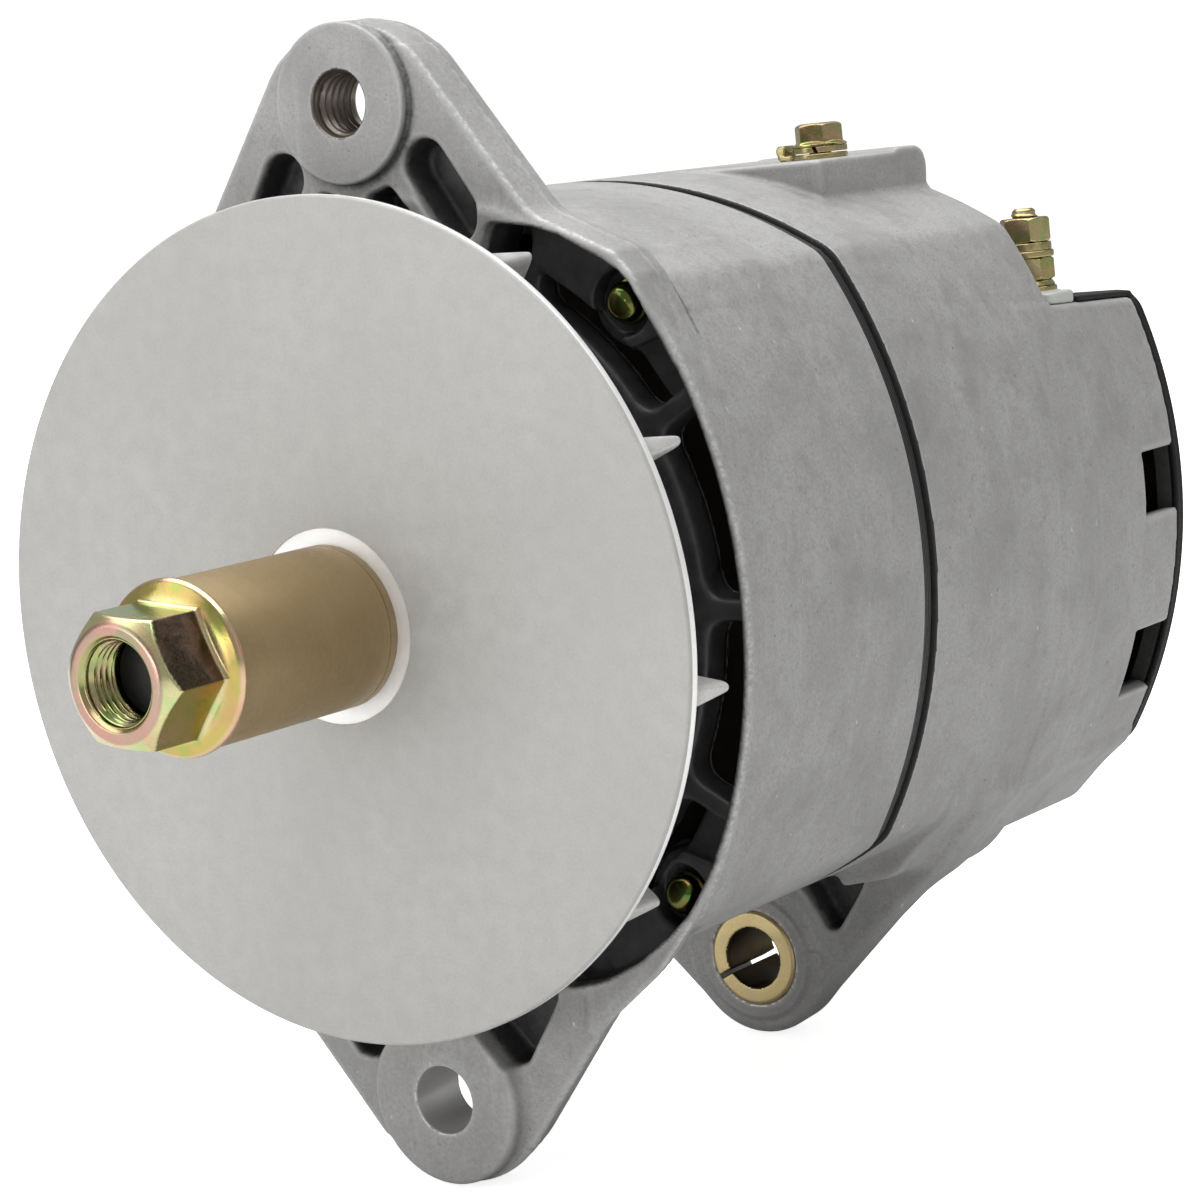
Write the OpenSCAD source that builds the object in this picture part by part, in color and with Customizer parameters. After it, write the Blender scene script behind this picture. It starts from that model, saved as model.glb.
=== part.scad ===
// Heavy-duty brushless alternator with a three-point hinge mount.
// mm, +Z up, shaft along Y, drive end towards -Y. y = 0 is the plane of the front
// face of the fan, where a pulley seats; x = z = 0 is the shaft axis.

/* [Body] */
// half the width of the body, mid side
body_half = 79.3; // [79:0.1:80]
// half the height of the body, mid side
body_up = 78.7; // [78.4:0.1:79.2]
// radius of each of the four shallow sides of the body
side_r = 112.6; // [112:0.2:114]
// wall thickness of both frames
wall = 4; // [3.5:0.1:4.5]
// distance of the adjusting hole and of the hinge hole from the shaft
mount_c = 98.4; // [98:0.1:99]
// width between the two hinge lugs, taken up by the engine bracket
hinge_gap = 101.6; // [101:0.1:102]
// distance of each through bolt from the shaft, in X and in Z
bolt_c = 56.3; // [56:0.1:56.6]

/* [Fan] */
// fan radius
fan_r = 82.1; // [81:0.1:83]
// thickness of the fan disc
fan_t = 2.8; // [2.4:0.1:3.4]
// number of fan blades
blades = 11; // [9:1:12]
// reach of the blades behind the disc
blade_h = 11.6; // [10:0.1:12.5]

/* [Shaft] */
// radius of the spacer sleeve on the shaft
sleeve_r = 15.9; // [15.5:0.1:16.5]
// length from the fan's face to the nut
sleeve_l = 44.1; // [43:0.1:45]
// width across flats of the shaft nut
nut_af = 23.8; // [23.4:0.1:24.4]

/* [Mounts] */
// radius of the hinge bolt hole
hinge_r = 6.85; // [6.6:0.05:7.0]
// radius of the threaded adjusting hole
adjust_r = 6.35; // [6.2:0.05:6.6]
// radius of the output stud
stud_r = 3; // [2.9:0.05:3.1]

/* [Hidden] */
$fn = 96;
ye = 19.3;            // face of the adjusting boss
yh = 18.3;            // face of the front hinge lug
yl = 31.7;            // back of the front hinge lug
yr = yl + hinge_gap;  // face of the rear bushing
ye2 = 33;             // back of the adjusting ear
yf = 24;              // front rim of the drive-end frame
y1 = 89;              // drive-end frame ends, core shows
y2 = 93.9;            // rear frame starts
ys = 66;              // core shoulder, front
yt = 116.4;           // core shoulder, rear
y3 = 166;             // step of the rear frame
y4 = 204;             // rear rim
zl = 42;              // ledge of the step
ledge_fall = 2.5;     // degrees
bush_r = 10.75;
bore_r = 6.77;
n_claw = 7;
cs_x = 69.3;          // upper cover screws
sink_holes = [[24, 12.5], [57, 12.5]];
reg_holes = [[47.3, -12.7], [-47.3, -12.7], [0, -32.2]];
trio_x = -40.5;       // diode trio's screw, in X and in Z
cap_x = 38;           // capacitor
cap_z = -50;
gold = [0.80, 0.69, 0.38];
alu = [0.66, 0.66, 0.65];
dark = [0.09, 0.09, 0.09];
steel = [0.56, 0.57, 0.58];
copper = [0.66, 0.36, 0.18];

// 2D outlines are (x, z); ex() extrudes them from y a to y b
module ex(a, b) { translate([0, b, 0]) rotate([90, 0, 0]) linear_extrude(height = b - a) children(); }
// profiles are (r, y), turned round the Y axis
module rev() { rotate([-90, 0, 0]) rotate_extrude() children(); }
module ycyl(r, a, b, x = 0, z = 0) { translate([x, a, z]) rotate([-90, 0, 0]) cylinder(r = r, h = b - a); }
module ring(ro, ri, a, b) { rev() translate([ri, a]) square([ro - ri, b - a]); }
module turn(a) { rotate([0, -a, 0]) children(); }
module sym() { children(); mirror([1, 0, 0]) children(); }
module corners() { for (i = [-1, 1], k = [-1, 1]) translate([i * bolt_c, 0, k * bolt_c]) children(); }

// body outline: four shallow arcs meeting at soft corners, t inside the outer face
module outline(t = 0) {
    e = side_r - body_half;
    u = side_r - body_up;
    intersection() {
        translate([0, -u]) circle(r = side_r - t);
        translate([0, u]) circle(r = side_r - t);
        translate([-e, 0]) circle(r = side_r - t);
        translate([e, 0]) circle(r = side_r - t);
        circle(r = 85.9 - t);
    }
}

module ear2() {
    translate([0, 90.8]) circle(r = 23.5);
    polygon([[-19.1, 104.5], [19.1, 104.5], [41, 74.2], [58.5, 66.2], [62.6, 61.6], [68, 49], [60, 30],
        [-60, 30], [-68, 49], [-62.6, 61.6], [-58.5, 66.2], [-41, 74.2]]);
}
module lug2() {
    translate([0, -91.5]) circle(r = 24.8);
    lug2_flat();
}
module lug2_flat() {
    polygon([[-19.5, -106.8], [19.5, -106.8], [34, -88.3], [39.5, -81.3], [52.5, -71], [61, -61], [50, -40],
        [-50, -40], [-61, -61], [-52.5, -71], [-39.5, -81.3], [-34, -88.3]]);
}
// the hinge lug: its flanks and its round end are drawn in by the draft of the casting
module flank() translate([19.5, 21.6, -106.8]) rotate([0, -51.9, 0]) rotate([15.5, 0, 0])
    translate([-60, -50, 0]) cube([160, 100, 120]);
module lug_plate() {
    intersection() {
        ex(21.6, yl) lug2_flat();
        flank();
        mirror([1, 0, 0]) flank();
        translate([-80, 20, -120]) cube([160, 12, 70]);
    }
    translate([0, 21.6, -91.5]) rotate([-90, 0, 0]) cylinder(r1 = 24.8, r2 = 22, h = yl - 21.6);
    sym() ex(21.6, 28) polygon([[36, -82.2], [43.6, -74.3], [50.4, -68.2], [58, -60.5], [40, -50]]);
}
module capsule(a, b, r) {
    d = b - a; l = norm(d);
    translate(a) circle(r = r);
    translate(b) circle(r = r);
    translate(a) rotate(atan2(d[1], d[0])) translate([0, -r]) square([l, 2 * r]);
}

// ---------- frames ----------
module drive_end_frame() color(alu) difference() {
    union() {
        difference() {
            union() {
                ex(yf, y1) outline();
                ex(21.6, ye2) intersection() { ear2(); translate([-80, 40]) square([160, 80]); }
                lug_plate();
            }
            // inside: shell, then the seat of the core
            ex(33, 60) outline(wall);
            ex(59.9, ys + 0.1) outline(6);
            ex(ys, y1 + 1) outline(3.95);
            // open front, between the lip and the spider
            ex(21, 33.1) outline(1.9);
        }
        // spider
        intersection() {
            ex(22, 40) outline(1.5);
            union() {
                ring(67.6, 62, 23, 33);
                for (a = [0, 30, 60, 90, 120, 150, 180, 212, 240, 270, 300, 328]) turn(a) translate([34, 25, -2.6]) cube([54, 8, 5.2]);
                ring(40, 21.5, 23, 42);
            }
        }
        // webs of the adjusting ear and of the hinge lug
        intersection() {
            union() {
                ex(21.6, ye2) ear2();
                lug_plate();
            }
            difference() {
                translate([-90, 20, -120]) cube([180, 13, 240]);
                ex(10, 40) intersection() { outline(1.9); translate([-100, -67]) square([200, 134]); }
                sym() ex(10, 40) polygon([[31.3, 60], [31.3, 73.4], [32.6, 74.2], [41, 71.6], [45.4, 69.4], [49.8, 67.2], [55.4, 64.9], [59.6, 62.2], [61.4, 60], [62.8, 57], [50, 50]]);
                sym() ex(10, 40) polygon([[33, -60], [33, -73.6], [42, -71], [52, -66], [60.5, -60], [50, -50]]);
            }
        }
        ycyl(15.55, ye, ye2, 0, mount_c);
        ycyl(17.8, yh, yl, 0, -mount_c);
        // bolt bosses in the four corners
        intersection() {
            ex(30, ys) outline(1);
            corners() ycyl(8.6, 30.02, ys);
        }
    }
    ycyl(adjust_r, 0, 60, 0, mount_c);
    ycyl(hinge_r, 0, 60, 0, -mount_c);
    // pockets of the ear and of the lug
    sym() ex(10, 29) capsule([17.6, 85.2], [24.2, 74.8], 5);
    sym() ex(10, 29) polygon([[3, 76], [3, 80.4], [8.3, 82], [13.4, 77], [15, 71], [5, 71]]);
    ex(10, 29) polygon([[17.2, -91], [20, -90.4], [30, -76.2], [31, -71], [9, -71], [9.6, -84.4], [15.2, -90.6]]);
    mirror([1, 0, 0]) ex(10, 29) polygon([[18.8, -91.9], [22, -91.2], [31, -77], [32, -71], [9, -71], [10.6, -85], [16.6, -91.5]]);
    // through-bolt holes
    corners() ycyl(2.85, 0, y1 + 1);
    // front bearing, and the retainer's three holes
    ycyl(31.02, 25, 60);
    for (a = [30:120:270]) turn(a) ycyl(2.05, 33, 60, 35.6, 0);
}

module rear_lug2() {
    translate([0, -mount_c]) circle(r = 17.6);
    polygon([[-12, -111.3], [12, -111.3], [33.8, -90.2], [42, -83], [51, -74.5], [61, -61], [40, -50],
        [-40, -50], [-61, -61], [-51, -74.5], [-42, -83], [-33.8, -90.2]]);
}
module skirt2() polygon([[62, -58], [61, -61], [47, -75], [26, -79], [-26, -79], [-47, -75], [-61, -61],
    [-62, -58], [-40, -50], [40, -50]]);

// the ledge behind the step falls towards the rear; z = 0 is its face
module ledge() translate([0, y3, zl]) rotate([-ledge_fall, 0, 0]) children();

module rear_frame() color(alu) difference() {
    union() {
        ex(y2, y3) outline();
        intersection() {
            ex(y3 - 1, y4) outline();
            ledge() translate([-100, -10, -150]) cube([200, 60, 150]);
        }
        ex(120, y4) skirt2();
        // pad of the ground screw
        translate([8, 120.5, 60]) cube([36.2, y3 - 120.5, 18.17]);
        // hinge lug
        ex(134.2, 145) rear_lug2();
        ex(145, 160) intersection() { rear_lug2(); polygon([[-70, -50], [-55, -77], [-30, -83], [30, -83], [55, -77], [70, -50]]); }
        ycyl(13.8, 133.8, 147, 0, -mount_c);
    }
    // inside: seat of the core, shell, rear room
    ex(y2 - 1, yt) outline(3.95);
    ex(yt - 0.1, 129) outline(6);
    difference() {
        ex(134, y3 - wall) outline(wall);
        ycyl(25, 133, 154);
        corners() ycyl(8, 130, 146);
        for (p = sink_holes) { ycyl(4.5, 133, 157.55, p[0], p[1]); ycyl(4.5, 133, 157.55, -p[0], p[1]); }
        for (p = reg_holes) ycyl(4.5, 133, 155.95, p[0], p[1]);
        ycyl(4.5, 133, 149.95, trio_x, trio_x);
        ycyl(5, 133, 149.95, cap_x, cap_z);
    }
    intersection() {
        ex(y3 - wall - 0.1, y4 + 1) outline(wall);
        ledge() translate([-100, -10, -153.6]) cube([200, 60, 150]);
    }
    // air openings of the partition
    for (a = [0:30:330]) turn(a) translate([36, 120, -5.5]) cube([23, 14.01, 11]);
    // air openings of the rear rim
    sym() translate([60, 188.4, -7.6]) cube([40, 20, 14.3]);
    sym() turn(-29.5) translate([60, 188.4, -8.5]) cube([40, 20, 15.8]);
    for (x = [-18, 18]) translate([x - 6.7, 188.4, -90]) cube([13.4, 20, 40]);
    // hinge
    ycyl(bush_r + 0.02, 120, 160, 0, -mount_c);
    sym() ex(130, 141.5) polygon([[12.4, -78.8], [22, -75.4], [30, -72.8], [33.2, -76.6], [22.5, -91.2], [19.5, -91.2]]);
    // rear bearing, bolts, core screws
    ycyl(20.5, 100, 149);
    ycyl(13, 100, 151.6);
    corners() ycyl(2.55, 90, 140);
    for (a = [45:90:315]) turn(a) ycyl(2.55, 120, 134.01, 30.5, 0);
    turn(-120) ycyl(4, 120, 134.01, 33.5, 0);
    // screw holes of the electronics
    for (p = sink_holes) { ycyl(2.05, 142, 160, p[0], p[1]); ycyl(2.05, 142, 160, -p[0], p[1]); }
    for (p = reg_holes) ycyl(2.05, 142, 160, p[0], p[1]);
    ycyl(2.05, 138, 160, trio_x, trio_x);
    ycyl(2.05, 138, 160, cap_x, cap_z);
    // ground screw, output stud
    translate([30.5, 144, 60]) cylinder(r = 2.45, h = 30);
    at_stud() translate([0, 0, 30]) cylinder(r = 5, h = 30);
    // cover screws
    for (x = [-cs_x, cs_x]) ycyl(1.75, 190, 210, x, 33.5);
    for (x = [-55.4, 55.4]) ycyl(1.75, 190, 210, x, -57.5);
}

// bosses that take the cover screws, inside the rear rim
module cover_bosses() color(alu) difference() {
    intersection() {
        ex(186, y4) outline(1);
        union() {
            for (x = [-cs_x, cs_x]) ycyl(4.6, 186, y4, x, 33.5);
            for (x = [-55.4, 55.4]) ycyl(4.8, 186, y4, x, -57.5);
        }
    }
    for (x = [-cs_x, cs_x]) ycyl(1.75, 180, 210, x, 33.5);
    for (x = [-55.4, 55.4]) ycyl(1.75, 180, 210, x, -57.5);
}

// ---------- stator ----------
module stator_core() color(dark) difference() {
    union() {
        ex(ys + 0.1, yt - 0.1) outline(4);
        ex(y1 + 0.2, y2 - 1.1) outline(0.9);
    }
    ycyl(54, 0, 200);
    for (i = [0:35]) turn(i * 10) translate([50, 60, -1.6]) cube([16, 70, 3.2]);
    corners() ycyl(3.4, 0, 200);
}
module stator_winding() color(copper) {
    for (i = [0:35]) turn(i * 10) translate([55.4, 60, -1.35]) cube([10.6, 63, 2.7]);
    ring(67.5, 55.4, 51, 60.2);
    ring(67.5, 55.4, 122.8, 128.6);
}
module rod(a, b, r) {
    d = b - a; l = norm(d);
    translate(a) rotate([0, acos(d[2] / l), atan2(d[1], d[0])]) cylinder(r = r, h = l);
}
module wire(p, r) {
    for (i = [0:len(p) - 2]) rod(p[i], p[i + 1], r);
    for (i = [1:len(p) - 2]) translate(p[i]) sphere(r = r);
}
diodes = [[14, 168], [29, 176], [44, 184]];
module stator_leads() color(copper) {
    wire([[28, 128.7, 48.5], [28, 157, 48.5], [28, 157, 36.1], [28, 174.6, 36.1]], 1.3);
    wire([[0, 128.7, 56], [0, 157, 56], [0, 157, 36.1], [0, 168, 36.1]], 1.3);
    wire([[-28, 128.7, 48.5], [-28, 157, 48.5], [-37, 157, 36.1], [-37, 184, 36.1]], 1.3);
    for (d = diodes) difference() {
        translate([-d[0] - 2.5, d[1] - 2, 34.5]) cube([2 * d[0] + 5, 4, 1.1]);
        for (x = [-d[0], d[0]]) translate([x, d[1], 30]) cylinder(r = 1.25, h = 10);
    }
}

// ---------- rotor ----------
module rotor_shaft() color(steel) rev() polygon([[0, -51], [7.2, -51], [7.9, -50.2], [7.9, -41.6], [10.4, -41.6], [11.1, -40.6],
    [11.1, 24.9], [12.5, 24.9], [12.5, 42], [15.45, 42], [15.45, 68], [13, 68], [13, 134], [8.5, 134], [8.5, 150], [7.6, 151], [0, 151]]);
module claw(a0, len, w0, w1) {
    intersection() {
        ring(53.2, 42.2, 50, 130);
        translate([30, 0, 0]) rotate([0, 90, 0]) rotate([0, 0, 90])
            linear_extrude(height = 26) polygon([[a0, -w0 / 2], [a0, w0 / 2], [a0 + len, w1 / 2], [a0 + len, -w1 / 2]]);
    }
}
module front_pole_claw() color(steel) {
    difference() {
        rev() polygon([[15.5, 56], [51, 56], [53.4, 58.4], [53.4, 68], [15.5, 68]]);
        for (i = [0:n_claw - 1]) turn((i + 0.5) * 360 / n_claw) translate([45.5, 50, -5]) cube([20, 30, 10]);
    }
    for (i = [0:n_claw - 1]) turn(i * 360 / n_claw) claw(62, 48.5, 26.9, 10);
}
module rear_pole_claw() color(steel) {
    difference() {
        rev() polygon([[41.8, 112.5], [53.4, 112.5], [53.4, 122], [51, 124.4], [41.8, 124.4]]);
        for (i = [0:n_claw - 1]) turn(i * 360 / n_claw) translate([46, 100, -5]) cube([20, 30, 10]);
    }
    for (i = [0:n_claw - 1]) turn((i + 0.5) * 360 / n_claw) claw(118.5, -48.5, 26.9, 10);
}
module pole_joining_ring() color(steel) ring(42.19, 40.4, 82, 98);

// ---------- field, fixed inside the rotor ----------
module field_core() color(steel) difference() {
    union() {
        ring(25, 14.5, 69, 118);
        ring(39.5, 14.5, 117.9, 128.9);
    }
    for (a = [45:90:315]) turn(a) ycyl(2.55, 112, 140, 30.5, 0);
    turn(-120) ycyl(3.6, 110, 140, 33.5, 0);
}
module field_core_screws() color(steel) for (a = [45:90:315]) turn(a) {
    ycyl(2.5, 119.5, 137, 30.5, 0);
    translate([30.5, 134.05, 0]) rotate([-90, 0, 0]) cylinder(r = 4.6, h = 3.4, $fn = 6);
}
module field_bobbin() color([0.75, 0.72, 0.60]) difference() {
    rev() polygon([[25.02, 70], [39.4, 70], [39.4, 71.4], [26.4, 71.4], [26.4, 116.2], [39.4, 116.2], [39.4, 117.8], [25.02, 117.8]]);
    turn(-120) ycyl(3.2, 110, 140, 33.5, 0);
}
module field_coil() color(copper) ring(38.6, 26.42, 71.42, 116.18);
module field_lead() color(copper) turn(-120) {
    ycyl(1.1, 116.3, 155.8, 33.5, -1.7);
    ycyl(1.1, 116.3, 155.8, 33.5, 1.7);
}

// ---------- fan end ----------
module fan() color([0.74, 0.74, 0.73]) difference() {
    union() {
        ring(fan_r, 9, 0, fan_t);
        ring(21, 9, 0, 16);
        for (i = [0:blades - 1]) turn(23 + i * 360 / blades) translate([30, 0, 0]) rotate([0, 90, 0]) rotate([0, 0, 90])
            linear_extrude(height = fan_r - 31) polygon([[fan_t - 0.5, -2], [fan_t - 0.5, 2], [fan_t + blade_h, 0.95], [fan_t + blade_h, -0.95]]);
    }
    ycyl(11.12, -1, 20);
    ycyl(19.05, -1, 0.5);
}
module fan_collar() color(steel) ring(17, 11.12, 16, 24.9);
module shaft_sleeve() color([0.62, 0.53, 0.36]) ring(sleeve_r, 11.12, 0.5 - sleeve_l, 0.5);
module shaft_nut() color(gold) {
    b = 0.5 - sleeve_l;
    difference() {
        union() {
            intersection() {
                translate([0, b - 17.5, 0]) rotate([-90, 0, 0]) rotate([0, 0, 6]) cylinder(r = nut_af / sqrt(3), h = 17.2, $fn = 6);
                rev() polygon([[0, b - 16.7], [10.6, b - 16.7], [14.2, b - 13.8], [14.2, b], [0, b]]);
            }
            rev() polygon([[0, b], [16.6, b], [16.6, b - 1.1], [13, b - 2.7], [0, b - 2.7]]);
        }
        ycyl(7.95, b - 20, b + 1);
        rev() polygon([[0, b - 17.2], [9, b - 17.2], [8.7, b - 16.7], [7.9, b - 15.6], [0, b - 15.6]]);
    }
}

// ---------- bearings ----------
module front_bearing_outer() color(steel) rev() difference() {
    translate([25.3, 25]) square([5.7, 17]);
    translate([21.75, 33.5]) circle(r = 5.05);
}
module front_bearing_inner() color(steel) rev() difference() {
    translate([12.52, 25]) square([5.68, 17]);
    translate([21.75, 33.5]) circle(r = 5.05);
}
module front_bearing_balls() color(steel) for (i = [0:8]) turn(i * 40) translate([21.75, 33.5, 0]) sphere(r = 5);
module front_bearing_cage() color(gold) difference() {
    ring(22.6, 20.9, 27.4, 39.6);
    for (i = [0:8]) turn(i * 40) translate([15, 33.5, 0]) rotate([0, 90, 0]) cylinder(r = 5.07, h = 14);
}
module bearing_retainer() color(steel) difference() {
    ring(39.5, 19.5, 42.02, 44);
    for (a = [30:120:270]) turn(a) ycyl(2.1, 40, 50, 35.6, 0);
}
module retainer_screws() color(steel) for (a = [30:120:270]) turn(a) {
    ycyl(2, 34, 44.5, 35.6, 0);
    ycyl(3.6, 44.02, 46.2, 35.6, 0);
}
module rear_bearing_cup() color(steel) ring(20.48, 17.5, 135, 149);
module rear_bearing_inner() color(steel) ring(12.2, 8.52, 135, 149);
module rear_bearing_rollers() color(steel) for (i = [0:12]) turn(i * 360 / 13) ycyl(2.58, 137, 147, 14.85, 0);
module rear_bearing_cage() color(gold) difference() {
    ring(15.9, 13.8, 135.6, 148.4);
    for (i = [0:12]) turn(i * 360 / 13) ycyl(2.64, 136.9, 147.1, 14.85, 0);
}

// ---------- mounting and fastening ----------
module hinge_bushing() color(gold) translate([0, 0, -mount_c]) difference() {
    ring(bush_r, bore_r, yr, yr + 19);
    turn(-152) translate([0, yr - 1, -0.55]) cube([20, 30, 1.1]);
}
module through_bolts() color(gold) corners() rev()
    polygon([[0, 26.6], [1.6, 26.8], [3, 27.5], [3.9, 28.7], [4.1, 29.6], [4.1, 30], [2.5, 30], [2.5, 132], [0, 132]]);
module ground_screw() color(gold) translate([30.5, 144, 0]) {
    translate([0, 0, 62]) cylinder(r = 2.4, h = 20);
    translate([0, 0, 80.8]) cylinder(r1 = 6, r2 = 5.4, h = 0.9);
    intersection() {
        translate([0, 0, 81.5]) cylinder(r = 5.4, h = 4.4, $fn = 6);
        translate([0, 0, 81.5]) rotate_extrude() polygon([[0, 0], [5.4, 0], [5, 3.5], [4, 4.4], [0, 4.4]]);
    }
}
module ground_lock_washer() color(gold) translate([30.5, 144, 0]) difference() {
    translate([0, 0, 79.5]) cylinder(r = 5.9, h = 1.3);
    translate([0, 0, 79]) cylinder(r = 2.7, h = 4);
    translate([-0.5, -8, 79]) cube([1, 8, 4]);
}
module ground_tab() color(gold) translate([30.5, 144, 0]) difference() {
    union() {
        translate([0, 0, 78.2]) cylinder(r = 6, h = 1.3);
        translate([-11.2, -3, 78.2]) cube([10, 6, 1.3]);
        translate([-10.4, -3, 79.9]) rotate([-90, 0, 0]) cylinder(r = 1.4, h = 6);
    }
    translate([0, 0, 70]) cylinder(r = 2.7, h = 20);
}

// ---------- output terminal ----------
module at_stud() translate([60.2, 178.2, 0]) children();
module output_stud() color(gold) at_stud() {
    translate([0, 0, 19]) cylinder(r = stud_r, h = 42.8);
    translate([0, 0, 61.8]) cylinder(r1 = stud_r, r2 = 2.5, h = 1);
    translate([0, 0, 26.42]) cylinder(r = 6, h = 2.6, $fn = 6);
}
module hexnut(z, h, af, a) intersection() {
    translate([0, 0, z]) rotate([0, 0, a]) cylinder(r = af / sqrt(3), h = h, $fn = 6);
    translate([0, 0, z]) rotate_extrude() polygon([[0, 0], [af / 2, 0], [af / sqrt(3) + 0.2, 0.8], [af / sqrt(3) + 0.2, h - 0.8], [af / 2, h], [0, h]]);
}
module output_nut() color(gold) at_stud() difference() {
    hexnut(55.3, 5.4, 10, 8.7);
    translate([0, 0, 50]) cylinder(r = stud_r + 0.02, h = 15);
}
module output_jam_nut() color(gold) at_stud() difference() {
    hexnut(46.9, 5, 10, 26);
    translate([0, 0, 40]) cylinder(r = stud_r + 0.02, h = 15);
}
module output_lock_washer() color(gold) at_stud() difference() {
    translate([0, 0, 53.4]) cylinder(r = 5.5, h = 1.8);
    translate([0, 0, 50]) cylinder(r = 3.2, h = 9);
    translate([-0.5, -8, 50]) cube([1, 8, 9]);
}
module output_washer() color(gold) at_stud() difference() {
    translate([0, 0, 51.9]) cylinder(r = 5.9, h = 1.5);
    translate([0, 0, 50]) cylinder(r = 3.2, h = 9);
}
module stud_base_washers() color(gold) at_stud() difference() {
    union() {
        translate([0, 0, 44.4]) cylinder(r = 6, h = 1.2);
        translate([0, 0, 45.6]) cylinder(r1 = 5.8, r2 = 5, h = 1.3);
    }
    translate([0, 0, 40]) cylinder(r = 3.2, h = 9);
}
module stud_insulator() color([0.80, 0.81, 0.77]) difference() {
    union() {
        intersection() {
            ledge() translate([48, 1.2, 0]) cube([22.6, 13, 6]);
            translate([48, 167.2, 40]) cube([22.6, 12.4, 4.4]);
        }
        at_stud() translate([0, 0, 36]) cylinder(r = 4.9, h = 7);
        intersection() {
            at_stud() translate([0, 0, 40]) cylinder(r = 6.6, h = 4.4);
            ledge() translate([40, 0, 0]) cube([40, 40, 6]);
        }
    }
    at_stud() translate([0, 0, 30]) cylinder(r = stud_r + 0.05, h = 20);
}

// ---------- rear cover ----------
module lower2(t, top) intersection() { outline(t); translate([-100, -100]) square([200, 100 + top - 1.66]); }
module rear_cover() color(dark) difference() {
    union() {
        ex(206, 207.4) lower2(0, zl + 1.4);
        ex(204.1, 206.1) difference() { lower2(0, zl + 1.4); lower2(1.4, zl); }
        ledge() translate([-70.9, 14, 0.1]) cube([141.8, 26.4, 1.3]);
    }
    at_stud() translate([0, 0, 30]) cylinder(r = 8.6, h = 20);
    for (x = [-cs_x, cs_x]) ycyl(1.9, 190, 210, x, 33.5);
    for (x = [-55.4, 55.4]) ycyl(1.9, 190, 210, x, -57.5);
}
module cover_gasket() color([0.15, 0.15, 0.15]) difference() {
    ex(204, 206) difference() { lower2(1.6, zl - 0.2); lower2(wall + 1, zl - 4.2); }
    for (x = [-cs_x, cs_x]) ycyl(1.9, 190, 210, x, 33.5);
    for (x = [-55.4, 55.4]) ycyl(1.9, 190, 210, x, -57.5);
}
module screw(x, z) {
    ycyl(1.7, 192, 207.5, x, z);
    translate([x, 207.4, z]) rotate([-90, 0, 0]) rotate_extrude() polygon([[0, 0], [3.9, 0], [3.7, 1.2], [2.6, 2.1], [0, 2.4]]);
}
module cover_screws() color(dark) {
    screw(-cs_x, 33.5); screw(cs_x, 33.5); screw(-55.4, -57.5); screw(55.4, -57.5);
}

// ---------- electronics, in the rear room ----------
module sink(ym, pocket) difference() {
    union() {
        translate([8, ym, 18]) cube([57, 36, 8.4]);
        translate([8, ym, 7.5]) cube([57, 5, 10.6]);
    }
    for (i = [0:6]) translate([11 + i * 8, ym + 8, 17]) cube([3, 40, 4.5]);
    for (p = sink_holes) ycyl(pocket, 150, 170, p[0], p[1]);
}
module positive_heat_sink() color(alu) difference() {
    sink(158.6, 3.15);
    at_stud() cylinder(r = stud_r + 0.02, h = 40);
}
module negative_heat_sink() color(alu) mirror([1, 0, 0]) sink(157.6, 2.1);
module sink_insulators() color([0.80, 0.74, 0.60]) for (p = sink_holes) difference() {
    union() {
        ycyl(4.8, 157.57, 158.58, p[0], p[1]);
        ycyl(3.1, 158.5, 163.7, p[0], p[1]);
        ycyl(4.8, 163.62, 164.6, p[0], p[1]);
    }
    ycyl(2.1, 150, 170, p[0], p[1]);
}
module sink_screws() color(steel) for (p = sink_holes) {
    ycyl(2, 144, 165, p[0], p[1]);
    ycyl(3.7, 164.62, 167, p[0], p[1]);
    ycyl(2, 144, 163, -p[0], p[1]);
    ycyl(3.7, 162.62, 165, -p[0], p[1]);
}
module rectifier_diodes() color([0.2, 0.2, 0.22]) for (s = [-1, 1], d = diodes) {
    translate([s * d[0], d[1], 26.42]) cylinder(r = 5.6, h = 5.9);
    translate([s * d[0], d[1], 32.3]) cylinder(r = 1.2, h = 4.1);
}
module diode_trio() color(dark) difference() {
    translate([-54, 150, -46]) cube([27, 9, 11]);
    ycyl(2.1, 140, 170, trio_x, trio_x);
}
module trio_screw() color(steel) { ycyl(2, 140, 159.5, trio_x, trio_x); ycyl(3.8, 159.02, 161.4, trio_x, trio_x); }
module voltage_regulator() color(dark) difference() {
    union() {
        translate([-40, 156, -28]) cube([80, 22, 32]);
        translate([-52.5, 156, -18.5]) cube([105, 4, 11.6]);
        translate([-6, 156, -36.5]) cube([12, 4, 10]);
    }
    for (p = reg_holes) ycyl(2.1, 150, 170, p[0], p[1]);
}
module regulator_screws() color(steel) for (p = reg_holes) { ycyl(2, 144, 160.5, p[0], p[1]); ycyl(3.8, 160.02, 162.4, p[0], p[1]); }
module filter_capacitor() color(steel) { ycyl(9, 150, 186, cap_x, cap_z); ycyl(2, 140, 150.5, cap_x, cap_z); }

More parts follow.
